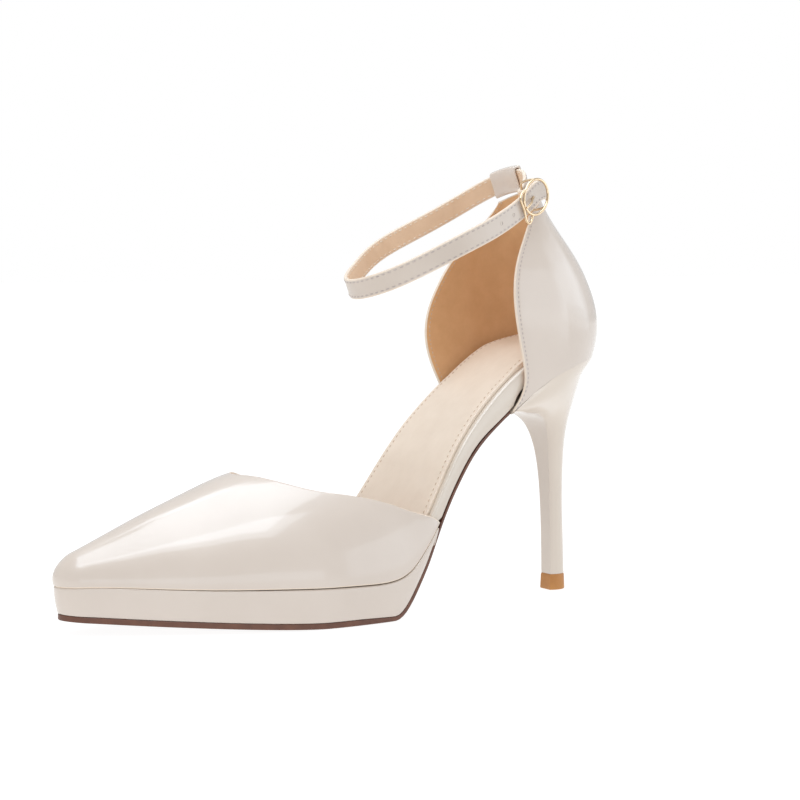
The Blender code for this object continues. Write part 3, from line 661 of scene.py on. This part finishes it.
def plate(places, margin, over, under, close_end, top_round, low_round, lean=0.0, bulge=0.0, across=10):
    """Points and faces of a layer of the bottom, with rounded edges that follow its outline.

    margin, over and under give its distance from the outline and its heights; lean moves the lower edge in
    and bulge the middle of the wall out.
    """
    insets = np.array([margin(x) for x in places])
    outer = np.stack((places, [edge(x, "outer", m) for x, m in zip(places, insets)]), axis=1)
    inner = np.stack((places, [edge(x, "inner", m) for x, m in zip(places, insets)]), axis=1)
    count = len(places)
    back = inner[1:-1][::-1] if close_end else inner[1:][::-1]
    outline = np.concatenate((outer, back))
    total = len(outline)
    ahead = np.roll(outline, -1, axis=0) - np.roll(outline, 1, axis=0)
    inward = unit(np.stack((-ahead[:, 1], ahead[:, 0]), axis=1))
    turns = np.linspace(0.0, 0.5 * math.pi, 5)
    walls = np.linspace(0.0, 1.0, 7)[1:-1]
    rings = []

    def heights(spot):
        low = under(spot[:, 0], spot[:, 1])
        high = over(spot[:, 0], spot[:, 1])
        most = BEND_SHARE * (high - low)
        return low, np.minimum(low_round, most), high, np.minimum(top_round, most)

    for turn in turns:
        spot = outline + inward * (lean + low_round * (1.0 - math.sin(turn)))
        low, bend, _, _ = heights(spot)
        rings.append(np.column_stack((spot, low + bend * (1.0 - math.cos(turn)))))
    for share in walls:
        spot = outline + inward * (lean * (1.0 - share) - bulge * math.sin(math.pi * share))
        low, low_bend, high, top_bend = heights(spot)
        start = low + low_bend
        rings.append(np.column_stack((spot, start + (high - top_bend - start) * share)))
    for turn in turns:
        spot = outline + inward * (top_round * (1.0 - math.cos(turn)))
        _, _, high, bend = heights(spot)
        rings.append(np.column_stack((spot, high - bend * (1.0 - math.sin(turn)))))
    points = [p for ring in rings for p in ring]
    faces = strips(len(rings), total)
    for base, height in ((0, under), ((len(rings) - 1) * total, over)):
        rows = []
        for i in range(count):
            mate = (total - i) % total
            if close_end and i == count - 1:
                mate = i
            if i == mate:
                rows.append([base + i] * (across + 1))
                continue
            row = [base + i]
            a = np.asarray(points[base + i])
            b = np.asarray(points[base + mate])
            for k in range(1, across):
                share = k / across
                spot = a + (b - a) * share
                chord = height(*a[:2]) * (1.0 - share) + height(*b[:2]) * share
                spot[2] += float(height(*spot[:2]) - chord)
                row.append(len(points))
                points.append(spot)
            row.append(base + mate)
            rows.append(row)
        for a, b in zip(rows, rows[1:]):
            for k in range(across):
                corners = tuple(dict.fromkeys((a[k], a[k + 1], b[k + 1], b[k])))
                if len(corners) > 2:
                    faces.append(corners)
    return np.array(points), faces


def run_along(line):
    """Distance of each point of a line from its first one, along the line."""
    return np.concatenate(((0.0,), np.cumsum(np.linalg.norm(np.diff(line, axis=0), axis=1))))


def at_run(values, run, distance):
    """What a line's points, or their normals, come to at one or more distances along it."""
    return np.stack([np.interp(distance, run, values[:, k]) for k in range(3)], axis=-1)


def stitches(name, runs, skin, slot, sizes):
    """Row of stitches along each run; a run is a line of points and the normals of what it lies on."""
    pitch, length, width, height = sizes
    points = []
    faces = []
    around = 8
    step = 0.15
    # Place along the stitch, width and rise of its rings
    stages = ((-1.0, 0.25, -0.7), (-0.75, 0.8, 0.15), (-0.3, 1.0, 0.8), (0.3, 1.0, 0.8), (0.75, 0.8, 0.15),
              (1.0, 0.25, -0.7))
    for line, normals in runs:
        run = run_along(line)
        for distance in np.arange(0.5 * pitch, run[-1] - step, pitch):
            spot = at_run(line, run, distance)
            up = unit(at_run(normals, run, distance))
            along = unit(at_run(line, run, distance + step) - spot)
            side = unit(np.cross(up, along))
            base = len(points)
            for place, swell, rise in stages:
                middle = spot + along * place * 0.5 * length + up * rise * 0.35 * height
                points += list(circle(middle, side * 0.5 * width * swell, up * 0.5 * height * swell, around))
            faces += strips(len(stages), around, base)
            faces.append(tuple(base + k for k in range(around)))
            faces.append(tuple(base + (len(stages) - 1) * around + k for k in range(around)))
    piece(name, points, faces, [skin], slot, sharp=60.0)


# Bottom of the shoe

def make_outsole():
    """Thin brown sole from the toe to the heel breast."""
    places = plate_places(sole_margin(0.0), BREAST_X, False)
    shape = plate(places, sole_margin, sole_over, sole_under, False, top_round=0.25, low_round=0.4)
    piece("outsole_skin", *shape, [BROWN], "outsole_brown", ["outsole"])


def make_platform():
    """Wrapped platform."""
    def over(x, y):
        return seam_at(x, y) - GAP * slope_stretch(last["seam"], x)

    def under(x, y):
        return np.minimum(sole_over(x, y) + PLATFORM_LIFT * slope_stretch(sole_under, x),
                          over(x, y) - PLATFORM_THIN)

    places = plate_places(PLATFORM_INSET, SHANK_X - 1.0, False)
    shape = plate(places, lambda x: PLATFORM_INSET, over, under, False, top_round=0.7, low_round=0.45,
                  lean=PLATFORM_LEAN, bulge=0.25)
    piece("platform_wrap", *shape, [CREAM], "patent_platform", ["platform"])


def tip_of(margin):
    """X of the front end of a layer whose edge keeps a margin."""
    x = 0.0
    for _ in range(20):
        x = float(margin(x))
    return x


def make_board():
    """Wrapped board with a rolled upper edge."""
    places = plate_places(tip_of(toe_margin), BACK_X - WALL - GAP, True)
    shape = plate(places, toe_margin, board_over, board_under, True, top_round=1.15, low_round=0.8,
                  bulge=0.15)
    piece("board_wrap", *shape, [RAND], "rand_leather", ["insole_board"])


def sock_under(x, y):
    """Underside of the sock."""
    return board_over(x, y) + SOCK_LIFT * slope_stretch(last["seam"], x)


def sock_over(x, y):
    """Upper side of the sock, padded under the heel."""
    pad = HEEL_PAD * np.clip((x - BREAST_X) / (SEAT_X - BREAST_X), 0.0, 1.0)
    thick = SOCK_THICK + GAP - SOCK_LIFT + pad
    return sock_under(x, y) + thick * slope_stretch(last["seam"], x)


def make_sock():
    """Sock with a row of stitches along its edge."""
    places = plate_places(tip_of(sock_margin), BACK_X - sock_margin(BACK_X), True)
    shape = plate(places, sock_margin, sock_over, sock_under, True, top_round=0.5, low_round=0.2,
                  across=14)
    piece("sock_cover", *shape, [SOCK], "sock_leather", ["sock_lining"])
    xs = np.linspace(*SOCK_STITCH_SPAN, 300)
    runs = []
    for side in ("outer", "inner"):
        inset = sock_margin(100.0) + SOCK_STITCH_INSET
        ys = edge(xs, side, inset)
        line = np.stack((xs, ys, sock_over(xs, ys)), axis=1)
        slope = np.gradient(line[:, 2], line[:, 0])
        normals = unit(np.stack((-slope, np.zeros_like(slope), np.ones_like(slope)), axis=1))
        runs.append((line, normals))
    stitches("sock_stitches", runs, SOCK_THREAD, "sock_leather", SOCK_STITCH)


# Upper

def vamp_point(x, turn, inset=0.0):
    """Point of the vamp at x, inset from its outside; turn goes from the outer seam to the inner."""
    side = "outer" if turn < 0.5 * math.pi else "inner"
    power = 2.0 / vamp_last["fullness"](x)
    nose = np.clip((x - inset) / TOE_ROUND, 0.0, 1.0)
    nose_round = np.sqrt(1.0 - (1.0 - nose) ** 2)
    middle = 0.5 * (edge(x, "outer", inset) + edge(x, "inner", inset))
    ridge_y = middle + (vamp_last["ridge_y"](x) - middle) * nose_round
    y = ridge_y + (edge(x, side, inset) - ridge_y) * abs(math.cos(turn)) ** power
    ridge_z = vamp_last["ridge_z"](x) - inset * slope_stretch(vamp_last["ridge_z"], x)
    height = (ridge_z - last["seam"](x)) * nose_round * math.sin(turn) ** power
    bulge = NOSE_BULGE * np.sin(math.pi * np.minimum(height / NOSE_HEIGHT, 1.0)) * np.exp(-x / TOE_ROUND)
    return np.stack((x - bulge, y, seam_at(x, y) + height), axis=-1)


def throat(turn):
    """X of the throat's edge."""
    tip = SHANK_X if turn < 0.5 * math.pi else INNER_TIP_X
    return THROAT_X + (tip - THROAT_X) * float(throat_share(math.degrees(min(turn, math.pi - turn))))


def make_vamp():
    """Closed toe: hollow shell with a rounded throat edge."""
    turned_in = 0.012
    turns = np.linspace(turned_in, math.pi - turned_in, 141)
    shares = np.linspace(0.0, 1.0, 131) ** TOE_CROWDING * WALL_SHARE
    outside = np.stack([vamp_point(throat(t) * shares, t) for t in turns], axis=1)
    inside = np.stack([vamp_point(WALL + (throat(t) - WALL) * shares, t, WALL) for t in turns], axis=1)
    points, faces, skins = rimmed_shell(outside, inside, (False, True, True, True))
    piece("vamp_shell", points, faces, [CREAM, LINING, RAW_EDGE], "patent_upper", ["vamp"], skins)


def counter_turns(z):
    """Angles of the two front edges at height z, measured from the back."""
    widest = float(counter_last["widest"](z))
    angles = []
    for name in ("front_outer", "front_inner"):
        share = float(counter_last[name](z)) - widest
        share = share / (COUNTER_FRONT_REACH if share < 0 else float(counter_last["back"](z)) - widest)
        angles.append(math.acos(min(max(share, -1.0), 1.0)))
    return -angles[0], angles[1]


def counter_plan(z, across):
    """X and Y of the counter's outside at height z."""
    outer_turn, inner_turn = counter_turns(z)
    turn = -outer_turn * across if across < 0 else inner_turn * across
    widest = float(counter_last["widest"](z))
    reach = float(counter_last["back"](z)) - widest if math.cos(turn) > 0 else COUNTER_FRONT_REACH
    half = float(counter_last["outer"](z)) if turn < 0 else float(counter_last["inner"](z))
    return widest + reach * math.cos(turn), half * math.sin(turn)


def counter_ends(across):
    """Heights of the counter's lower edge and of its top edge."""
    low, high = COUNTER_GUESS
    for _ in range(12):
        x, y = counter_plan(low, across)
        low = float(seam_at(x, y)) - COUNTER_LAP
        x, y = counter_plan(high, across)
        high = float(strap_last["height"](x)) - TUNNEL_DROP
    return low, high


def counter_grid(acrosses, shares):
    """Outside of the counter."""
    grid = np.zeros((len(shares), len(acrosses), 3))
    for j, across in enumerate(acrosses):
        low, high = counter_ends(across)
        for i, share in enumerate(shares):
            z = low + (high - low) * share
            grid[i, j] = (*counter_plan(z, across), z)
    return grid


def row_inset(row, distance, from_end):
    """Place on a row of points at a distance from its first or last point."""
    line = row[::-1] if from_end else row
    return at_run(line, run_along(line), distance)


def make_counter():
    """Closed back: hollow shell with stitched front edges."""
    acrosses = np.linspace(-WALL_SHARE, WALL_SHARE, 141)
    shares = np.linspace(0.0, TOP_SHARE, 91)
    outside = counter_grid(acrosses, shares)
    normals = grid_normals(outside)
    inside = outside - WALL * normals
    inside[0, :, 2] = outside[0, :, 2]
    points, faces, skins = rimmed_shell(outside, inside, (False, True, True, True))
    piece("counter_shell", points, faces, [CREAM, LINING, RAW_EDGE], "patent_upper", ["counter"], skins)
    runs = []
    lining_runs = []
    for from_end in (False, True):
        line = np.array([row_inset(row, COUNTER_STITCH_INSET, from_end) for row in outside])
        lining = np.array([row_inset(row, COUNTER_STITCH_INSET, from_end) for row in inside])
        facing = normals[:, -2 if from_end else 1]
        runs.append((line, facing))
        lining_runs.append((lining, -facing))
    stitches("counter_stitches", runs, THREAD_WITH_DIMPLE_SHADE, "patent_upper", COUNTER_STITCH)
    stitches("counter_lining_stitches", lining_runs, SOCK_THREAD, "patent_upper", COUNTER_STITCH)


# Heel

def heel_section(acrosses, front_x, front_z, back_x, back_z, half_width):
    """Ellipse that is cut off flat at the breast and leans from breast to back."""
    turn = HEEL_FLAT * acrosses
    length = (back_x - front_x) / (1.0 - math.cos(HEEL_FLAT))
    x = back_x - length * (1.0 - np.cos(turn))
    z = front_z + (back_z - front_z) * (x - front_x) / (back_x - front_x)
    return np.stack((x, half_width * np.sin(turn), z), axis=1)


def make_heel():
    """Slim wrapped heel, flush with the counter's lower edge; the ring above that edge only guides it."""
    above_edge = 5.0
    foremost = BREAST_X + 3.0 * GAP
    acrosses = np.linspace(-1.0, 1.0, 73)
    breast = np.linspace(0.0, 1.0, 14)[1:-1]

    def close(ring):
        first = ring[0]
        final = ring[-1]
        return np.concatenate((ring, [final + (first - final) * share for share in breast]))

    def seat(rise):
        ring = []
        for across in acrosses * WALL_SHARE:
            z = counter_ends(across)[0] + rise
            x, y = counter_plan(z, across)
            ring.append((max(x, foremost), y, z))
        return np.array(ring)

    rings = [close(seat(above_edge)), close(seat(0.0))]
    for row in HEEL:
        rings.append(close(heel_section(acrosses, **dict(zip(HEEL_COLUMNS, row)))))
    rings = np.array(rings)
    gaps = np.linalg.norm(np.diff(rings, axis=0), axis=2).mean(axis=1)
    run = np.concatenate(((0.0,), np.cumsum(gaps)))
    smooth = spline(run, rings)
    places = np.concatenate((np.linspace(run[1], run[5], 40), np.linspace(run[5], run[-1], 50)[1:]))
    piece("heel_wrap", *loft(smooth(places)), [HEEL_CREAM], "patent_heel", ["heel"], sharp=48.0)


def make_lift():
    """Wearing tip with softened edges."""
    front_x, _, back_x, _, half = HEEL[-1]
    acrosses = np.linspace(-1.0, 1.0, 61)
    rings = []
    for z, out in LIFT_LEVELS:
        grow = LIFT_FLARE + out
        rings.append(heel_section(acrosses, front_x - grow, z, back_x + grow, z, half + grow))
    piece("lift_tip", *loft(rings), [TAN_LIFT], "lift_tan", ["top_lift"], sharp=50.0)


# Strap, tunnel and buckle

ACROSS_STRAP = np.array((-math.sin(STRAP_TILT), 0.0, math.cos(STRAP_TILT)))


def route(t):
    """Point of the route at row t, seen from above."""
    return np.array((route_line["x"](t), route_line["y"](t)))


def strap_height(x, y):
    """Height of the strap's middle line."""
    return float(strap_last["height"](x) + strap_last["roll"](x) * y)


def strap_point(t):
    """Point of the strap's middle line at row t of the route."""
    x, y = route(t)
    sag = TAIL_SAG * max(0.0, t - BUCKLE_ROW) ** 2
    return np.array((x, y, strap_height(x, y) - sag))


def strap_frame(t):
    """Point of the strap's middle line, its direction and its outward side, at row t of the route."""
    direction = unit(strap_point(t + 0.02) - strap_point(t - 0.02))
    return strap_point(t), direction, unit(np.cross(direction, ACROSS_STRAP))


BUCKLE_POINT, BUCKLE_ALONG, BUCKLE_OUT = strap_frame(float(BUCKLE_ROW))
LAYER = STRAP_THICK + GAP
FOLD = BAR_WIRE + GAP + 0.5 * STRAP_THICK
BAR_DEPTH = LAYER + FOLD
RING_RISE = 0.5 * STRAP_THICK + GAP + WIRE


def buckle_place(along, across, out):
    """Point given along the strap, across it and outwards from the strap at the buckle."""
    return BUCKLE_POINT + BUCKLE_ALONG * along + ACROSS_STRAP * across + BUCKLE_OUT * out


def ring_place(along, across):
    """Point of the ring's plane, which rests on the strap in front and is lifted off it behind."""
    lift = max(0.0, along + 0.5 * RING_LENGTH) * math.sin(RING_TURN)
    return buckle_place(along * math.cos(RING_TURN) - RING_AHEAD, across + RING_UP, RING_RISE + lift)


def strap_profile():
    """Section of the strap: pairs of across and out from -1 to 1, and the skin of the face after each."""
    def rounded(side, first, final):
        turns = np.radians(np.linspace(first, final, 6))
        return [(side * STRAP_FLAT + (1.0 - STRAP_FLAT) * math.cos(a), math.sin(a), 2) for a in turns]

    flat = np.linspace(-STRAP_FLAT, STRAP_FLAT, 7)
    rows = [(a, 1.0 + STRAP_CROWN * (1.0 - a * a), 0) for a in flat]
    rows += rounded(1.0, 70.0, -70.0)
    rows += [(a, -1.0, 1) for a in flat[::-1]]
    rows += rounded(-1.0, 250.0, 110.0)
    skins = []
    for i, (_, _, skin) in enumerate(rows):
        after = rows[(i + 1) % len(rows)][2]
        skins.append(skin if skin == after else 2)
    return rows, skins


def strap_line():
    """Middle points and outward sides along the whole strap, from the fold at the bar to the tail."""
    points = []
    outs = []
    for along in np.linspace(FLAP, 0.5, 12):
        points.append(buckle_place(along, 0.0, -LAYER))
        outs.append(BUCKLE_OUT)
    for k in range(25):
        turn = math.pi * k / 24
        out = BUCKLE_OUT * math.cos(turn) - BUCKLE_ALONG * math.sin(turn)
        points.append(buckle_place(0.0, 0.0, -BAR_DEPTH) + out * FOLD)
        outs.append(out)
    points.append(buckle_place(3.0, 0.0, -BAR_DEPTH - FOLD))
    outs.append(-BUCKLE_OUT)
    fold_end = len(points)
    for t in np.linspace(0.0, len(ROUTE) - 1.0, 420):
        point, _, outward = strap_frame(float(t))
        points.append(point)
        outs.append(-outward)
    return np.array(points), np.array(outs), fold_end


def make_strap():
    """One strap with rounded raw edges, stitched along both edges."""
    middles, outs, fold_end = strap_line()
    rows, profile_skins = strap_profile()
    rings = []
    run = run_along(middles)
    for i, (middle, out) in enumerate(zip(middles, outs)):
        to_end = run[-1] - run[i]
        width = STRAP_WIDTH
        if to_end < TAIL_ROUND:
            width = STRAP_WIDTH * math.sqrt(max(1.0 - (1.0 - to_end / TAIL_ROUND) ** 2, 0.3))
        ring = []
        for across, depth, _ in rows:
            ring.append(middle - out * depth * 0.5 * STRAP_THICK + ACROSS_STRAP * across * 0.5 * width)
        rings.append(ring)
    points, faces = loft(rings)
    size = len(rows)
    skins = [profile_skins[k % size] for k in range((len(rings) - 1) * size)] + [2, 2]
    piece("strap_band", points, faces, [STRAP_CREAM, STRAP_LINING, RAW_EDGE], "patent_strap", ["ankle_strap"],
          skins, 60.0)
    runs = []
    lining_runs = []
    reach = 0.5 * STRAP_WIDTH - STRAP_STITCH_INSET
    body = slice(fold_end, -TAIL_UNSEWN)
    for side in (-1.0, 1.0):
        line = middles[body] + ACROSS_STRAP * side * reach
        runs.append((line - outs[body] * THREAD_LEVEL * STRAP_THICK, -outs[body]))
        lining_runs.append((line + outs[body] * 0.5 * STRAP_THICK, outs[body]))
    stitches("strap_stitches", runs, THREAD_WITH_DIMPLE_SHADE, "patent_strap", STRAP_STITCH)
    stitches("strap_lining_stitches", lining_runs, RAW_EDGE, "patent_strap", STRAP_STITCH)
    return middles, outs, run, fold_end


def make_holes(middles, outs, run, fold_end):
    """Shallow adjustment holes ahead of the buckle, each a shallow dip inside a pressed rim, its middle
    painted dark as the shade of a deep hole.
    """
    around = 20
    nearest = fold_end + np.argmin(np.linalg.norm(middles[fold_end:] - BUCKLE_POINT, axis=1))
    points = []
    faces = []
    skins = []
    for step in HOLE_STEPS:
        spot = run[nearest] + step * HOLE_SPACING
        middle = at_run(middles, run, spot)
        along = unit(at_run(middles, run, spot + 0.3) - middle)
        out = -unit(at_run(outs, run, spot))
        faces += strips(len(HOLE_RINGS), around, len(points))
        skins += [0] * 2 * around + [1] * 2 * around
        for share, rise in HOLE_RINGS:
            radius = HOLE_RADIUS * share
            centre = middle + out * (HOLE_LEVEL * STRAP_THICK + rise)
            points += list(circle(centre, along * radius, ACROSS_STRAP * radius, around))
    piece("strap_holes", points, faces, [STRAP_CREAM, HOLE_PAINTED_SHADE], "patent_strap", face_skins=skins,
          closed=False)


def make_tunnel():
    """Soft fold of leather round the strap, at the top of the counter."""
    hole = (0.5 * STRAP_THICK + GAP, 0.5 * STRAP_WIDTH + GAP)
    around = 40
    shape = []
    for k in range(around):
        turn = 2.0 * math.pi * k / around
        c = math.cos(turn)
        s = math.sin(turn)
        shape.append((math.copysign(abs(c) ** 0.45, c), math.copysign(abs(s) ** 0.25, s)))

    def ring(t, grow):
        point, _, outward = strap_frame(float(t))
        thick = hole[0] + grow
        wide = hole[1] + grow
        return [point + outward * a * thick + ACROSS_STRAP * b * wide for a, b in shape]

    start = TUNNEL_FROM + TUNNEL_ROLL
    stop = TUNNEL_TO - TUNNEL_ROLL
    between = np.linspace(start, stop, 60)[1:-1]
    rolls = [(TUNNEL_ROLL * math.sin(a), 0.5 * TUNNEL_WALL * (1.0 - math.cos(a)))
             for a in np.linspace(0.0, math.pi, 7)]
    outer = [ring(start - past, grow) for past, grow in rolls]
    outer += [ring(t, TUNNEL_WALL) for t in between]
    outer += [ring(stop + past, grow) for past, grow in reversed(rolls)]
    lining = [ring(t, 0.0) for t in between[::-1]]
    points, faces = loft(outer + lining + outer[:1], caps=False)
    skins = [0] * (len(outer) - 1) * around + [1] * (len(lining) + 1) * around
    piece("tunnel_fold", points, faces, [CREAM, LINING], "patent_strap", ["strap_tunnel"], skins)


def tube(line, radius, closed=False, size=16):
    """Points and faces of a wire along a line of points."""
    line = np.asarray(line, float)
    count = len(line)
    rings = []
    side = None
    for i in range(count):
        if closed:
            ahead = line[(i + 1) % count] - line[i - 1]
        else:
            ahead = line[min(i + 1, count - 1)] - line[max(i - 1, 0)]
        ahead = unit(ahead)
        guide = BUCKLE_OUT if side is None else np.cross(side, ahead)
        if side is None and np.linalg.norm(np.cross(ahead, guide)) < 0.3:
            guide = BUCKLE_ALONG
        side = unit(np.cross(ahead, guide))
        other = np.cross(side, ahead)
        thick = radius if np.isscalar(radius) else radius[i]
        rings.append(circle(line[i], side * thick, other * thick, size))
    if closed:
        rings.append(rings[0])
        return loft(rings, caps=False)
    return loft(rings)


def curve_through(points, count):
    """Smooth line through a few points."""
    points = np.asarray(points, float)
    run = run_along(points)
    return spline(run, points)(np.linspace(0.0, run[-1], count))


def make_buckle():
    """Oval ring, the bars behind and ahead of it and the prong, plated pale gold."""
    half = 0.5 * RING_HEIGHT
    reach = 0.5 * RING_LENGTH
    turns = np.linspace(0.0, 2.0 * math.pi, 97)[:-1]
    oval = [ring_place(reach * math.cos(a), half * math.sin(a)) for a in turns]
    piece("buckle_ring", *tube(oval, WIRE, closed=True, size=20), [GOLD], "buckle_gold", ["buckle_frame"])
    behind = RING_AHEAD / math.cos(RING_TURN)
    side = half * math.sqrt(1.0 - (behind / reach) ** 2)
    bend = 1.2
    path = ((side, bend - BAR_DEPTH), (side - 0.3 * bend, 0.3 * bend - BAR_DEPTH), (side - bend, -BAR_DEPTH))
    upper = [buckle_place(0.0, RING_UP + across, out) for across, out in path]
    lower = [buckle_place(0.0, RING_UP - across, out) for across, out in reversed(path)]
    bar_line = [ring_place(behind, side)] + upper + lower + [ring_place(behind, -side)]
    piece("buckle_bar", *tube(curve_through(bar_line, 60), BAR_WIRE), [GOLD], "buckle_gold")
    root = (-0.6 * reach, half * math.sqrt(1.0 - 0.6 ** 2))
    corner = FRONT_BAR_HALF + 0.5
    path = ((0.93, corner), (1.0, FRONT_BAR_HALF), (1.0, 0.0), (1.0, -FRONT_BAR_HALF), (0.93, -corner))
    spots = [(-FRONT_BAR_REACH * share, across - FRONT_BAR_DROP) for share, across in path]
    spots = [root] + spots + [(root[0], -root[1])]
    line = curve_through([ring_place(*spot) for spot in spots], 80)
    piece("buckle_front_bar", *tube(line, BAR_WIRE), [GOLD], "buckle_gold")
    rest = RING_RISE + WIRE + 0.05 + PRONG_WIRE
    front = RING_AHEAD + reach * math.cos(RING_TURN)
    path = ((0.0, -BAR_DEPTH + BAR_WIRE), (0.0, 0.8), (-0.2 * front, 0.55 * rest), (-0.5 * front, 0.9 * rest),
            (-0.9 * front, rest), (-1.1 * front, rest))
    line = curve_through([buckle_place(a, 0.0, out) for a, out in path], 50)
    radii = PRONG_WIRE * np.concatenate((np.ones(40), np.sqrt(np.linspace(1.0, 0.08, 10))))
    piece("buckle_pin", *tube(line, radii), [GOLD], "buckle_gold", ["buckle_prong"])


# Stage

def lamp(name, spot, tilt, turn, size, radiance, gloss):
    """Soft box given by its place and size in metres, its tilt and turn in degrees, and its radiance.

    One that is for gloss shows only in the lacquer, the others only light the shoe.
    """
    data = bpy.data.lights.new(name, "AREA")
    data.shape = "RECTANGLE"
    data.size, data.size_y = size
    data.energy = radiance * math.pi * size[0] * size[1]
    data.color = CARD_TINT if gloss else WHITE[:3]
    made = bpy.data.objects.new(name, data)
    bpy.context.scene.collection.objects.link(made)
    made.location = spot
    made.rotation_euler = (math.radians(tilt), 0.0, math.radians(turn))
    made.visible_glossy = gloss
    made.visible_diffuse = not gloss


WHITE = (1.0, 1.0, 1.0, 1.0)
FLOOR_HALF = 6.0
FLOOR_LEVEL = -0.0003
FLOOR_GREY = (0.16, 0.16, 0.16, 1.0)
FLOOR_GLOW = 0.94
WORLD_LIGHT = 0.67
CARD_TINT = (0.78, 0.89, 1.00)
LAMP_COLUMNS = ("name", "spot", "tilt", "turn", "size", "radiance", "gloss")
LAMPS = (
    ("overhead", (-0.02, 0.04, 0.70), 0.0, 0.0, (0.90, 0.70), 1.4, False),
    ("front_left", (-0.75, -0.35, 0.30), 73.0, -65.0, (0.40, 0.40), 0.8, False),
    ("roof_card", (-0.094, -0.091, 0.70), 0.0, 55.0, (1.06, 0.68), 2.6, True),
    ("roof_card_core", (-0.091, -0.059, 0.69), 0.0, 55.0, (0.85, 0.50), 3.0, True),
    ("right_card", (0.80, -0.30, 0.29), 79.7, 68.7, (0.74, 0.50), 0.6, True),
    ("right_card_middle", (0.80, -0.30, 0.28), 79.7, 68.7, (0.58, 0.36), 0.6, True),
    ("right_card_core", (0.80, -0.30, 0.27), 79.7, 68.7, (0.42, 0.22), 0.7, True),
    ("front_right_card", (0.56, -0.62, 0.15), 82.8, 41.4, (0.40, 0.34), 1.0, True),
    ("front_card", (-0.44, -1.64, 0.14), 87.0, -15.0, (2.00, 0.26), 1.2, True),
)


def make_stage():
    """Pale floor, soft light and the camera."""
    scene = bpy.context.scene
    mesh = bpy.data.meshes.new("floor")
    corners = ((-1, -1), (1, -1), (1, 1), (-1, 1))
    mesh.from_pydata([(FLOOR_HALF * x, FLOOR_HALF * y, FLOOR_LEVEL) for x, y in corners], [], [(0, 1, 2, 3)])
    floor = bpy.data.objects.new("floor", mesh)
    scene.collection.objects.link(floor)
    made, _, shader = shader_of("floor_white")
    put(shader, {"Base Color": FLOOR_GREY, "Roughness": 0.9, "Specular IOR Level": 0.1})
    put(shader, {"Emission Color": WHITE, "Emission Strength": FLOOR_GLOW})
    mesh.materials.append(made)

    world = bpy.data.worlds.new("studio")
    scene.world = world
    world.use_nodes = True
    nodes = world.node_tree.nodes
    links = world.node_tree.links
    light = nodes["Background"]
    put(light, {"Color": WHITE, "Strength": WORLD_LIGHT})
    seen = nodes.new("ShaderNodeBackground")
    put(seen, {"Color": WHITE, "Strength": 1.0})
    path = nodes.new("ShaderNodeLightPath")
    mix = nodes.new("ShaderNodeMixShader")
    links.new(path.outputs["Is Camera Ray"], mix.inputs["Fac"])
    links.new(light.outputs["Background"], mix.inputs[1])
    links.new(seen.outputs["Background"], mix.inputs[2])
    links.new(mix.outputs["Shader"], nodes["World Output"].inputs["Surface"])

    for row in LAMPS:
        lamp(**dict(zip(LAMP_COLUMNS, row)))

    scene.view_settings.view_transform = "Standard"
    scene.view_settings.look = "None"

    data = bpy.data.cameras.new("camera")
    camera = bpy.data.objects.new("camera", data)
    scene.collection.objects.link(camera)
    scene.camera = camera
    data.sensor_width = 36.0
    data.lens = CAMERA_FOCUS * data.sensor_width
    a = CAMERA_AZIMUTH
    e = CAMERA_HEIGHT
    back = Vector((math.sin(a) * math.cos(e), -math.cos(a) * math.cos(e), math.sin(e)))
    right = Vector((math.cos(a), math.sin(a), 0.0))
    up = back.cross(right)
    spot = (Vector(CAMERA_TARGET) + Vector(SHIFT) + back * CAMERA_DISTANCE) * MM
    turn = Matrix((right, up, back)).transposed()
    camera.matrix_world = Matrix.Translation(spot) @ turn.to_4x4()
    data.clip_start = 0.05
    data.clip_end = 50.0


def main():
    make_outsole()
    make_platform()
    make_board()
    make_sock()
    make_vamp()
    make_counter()
    make_heel()
    make_lift()
    make_holes(*make_strap())
    make_tunnel()
    make_buckle()
    make_stage()


main()
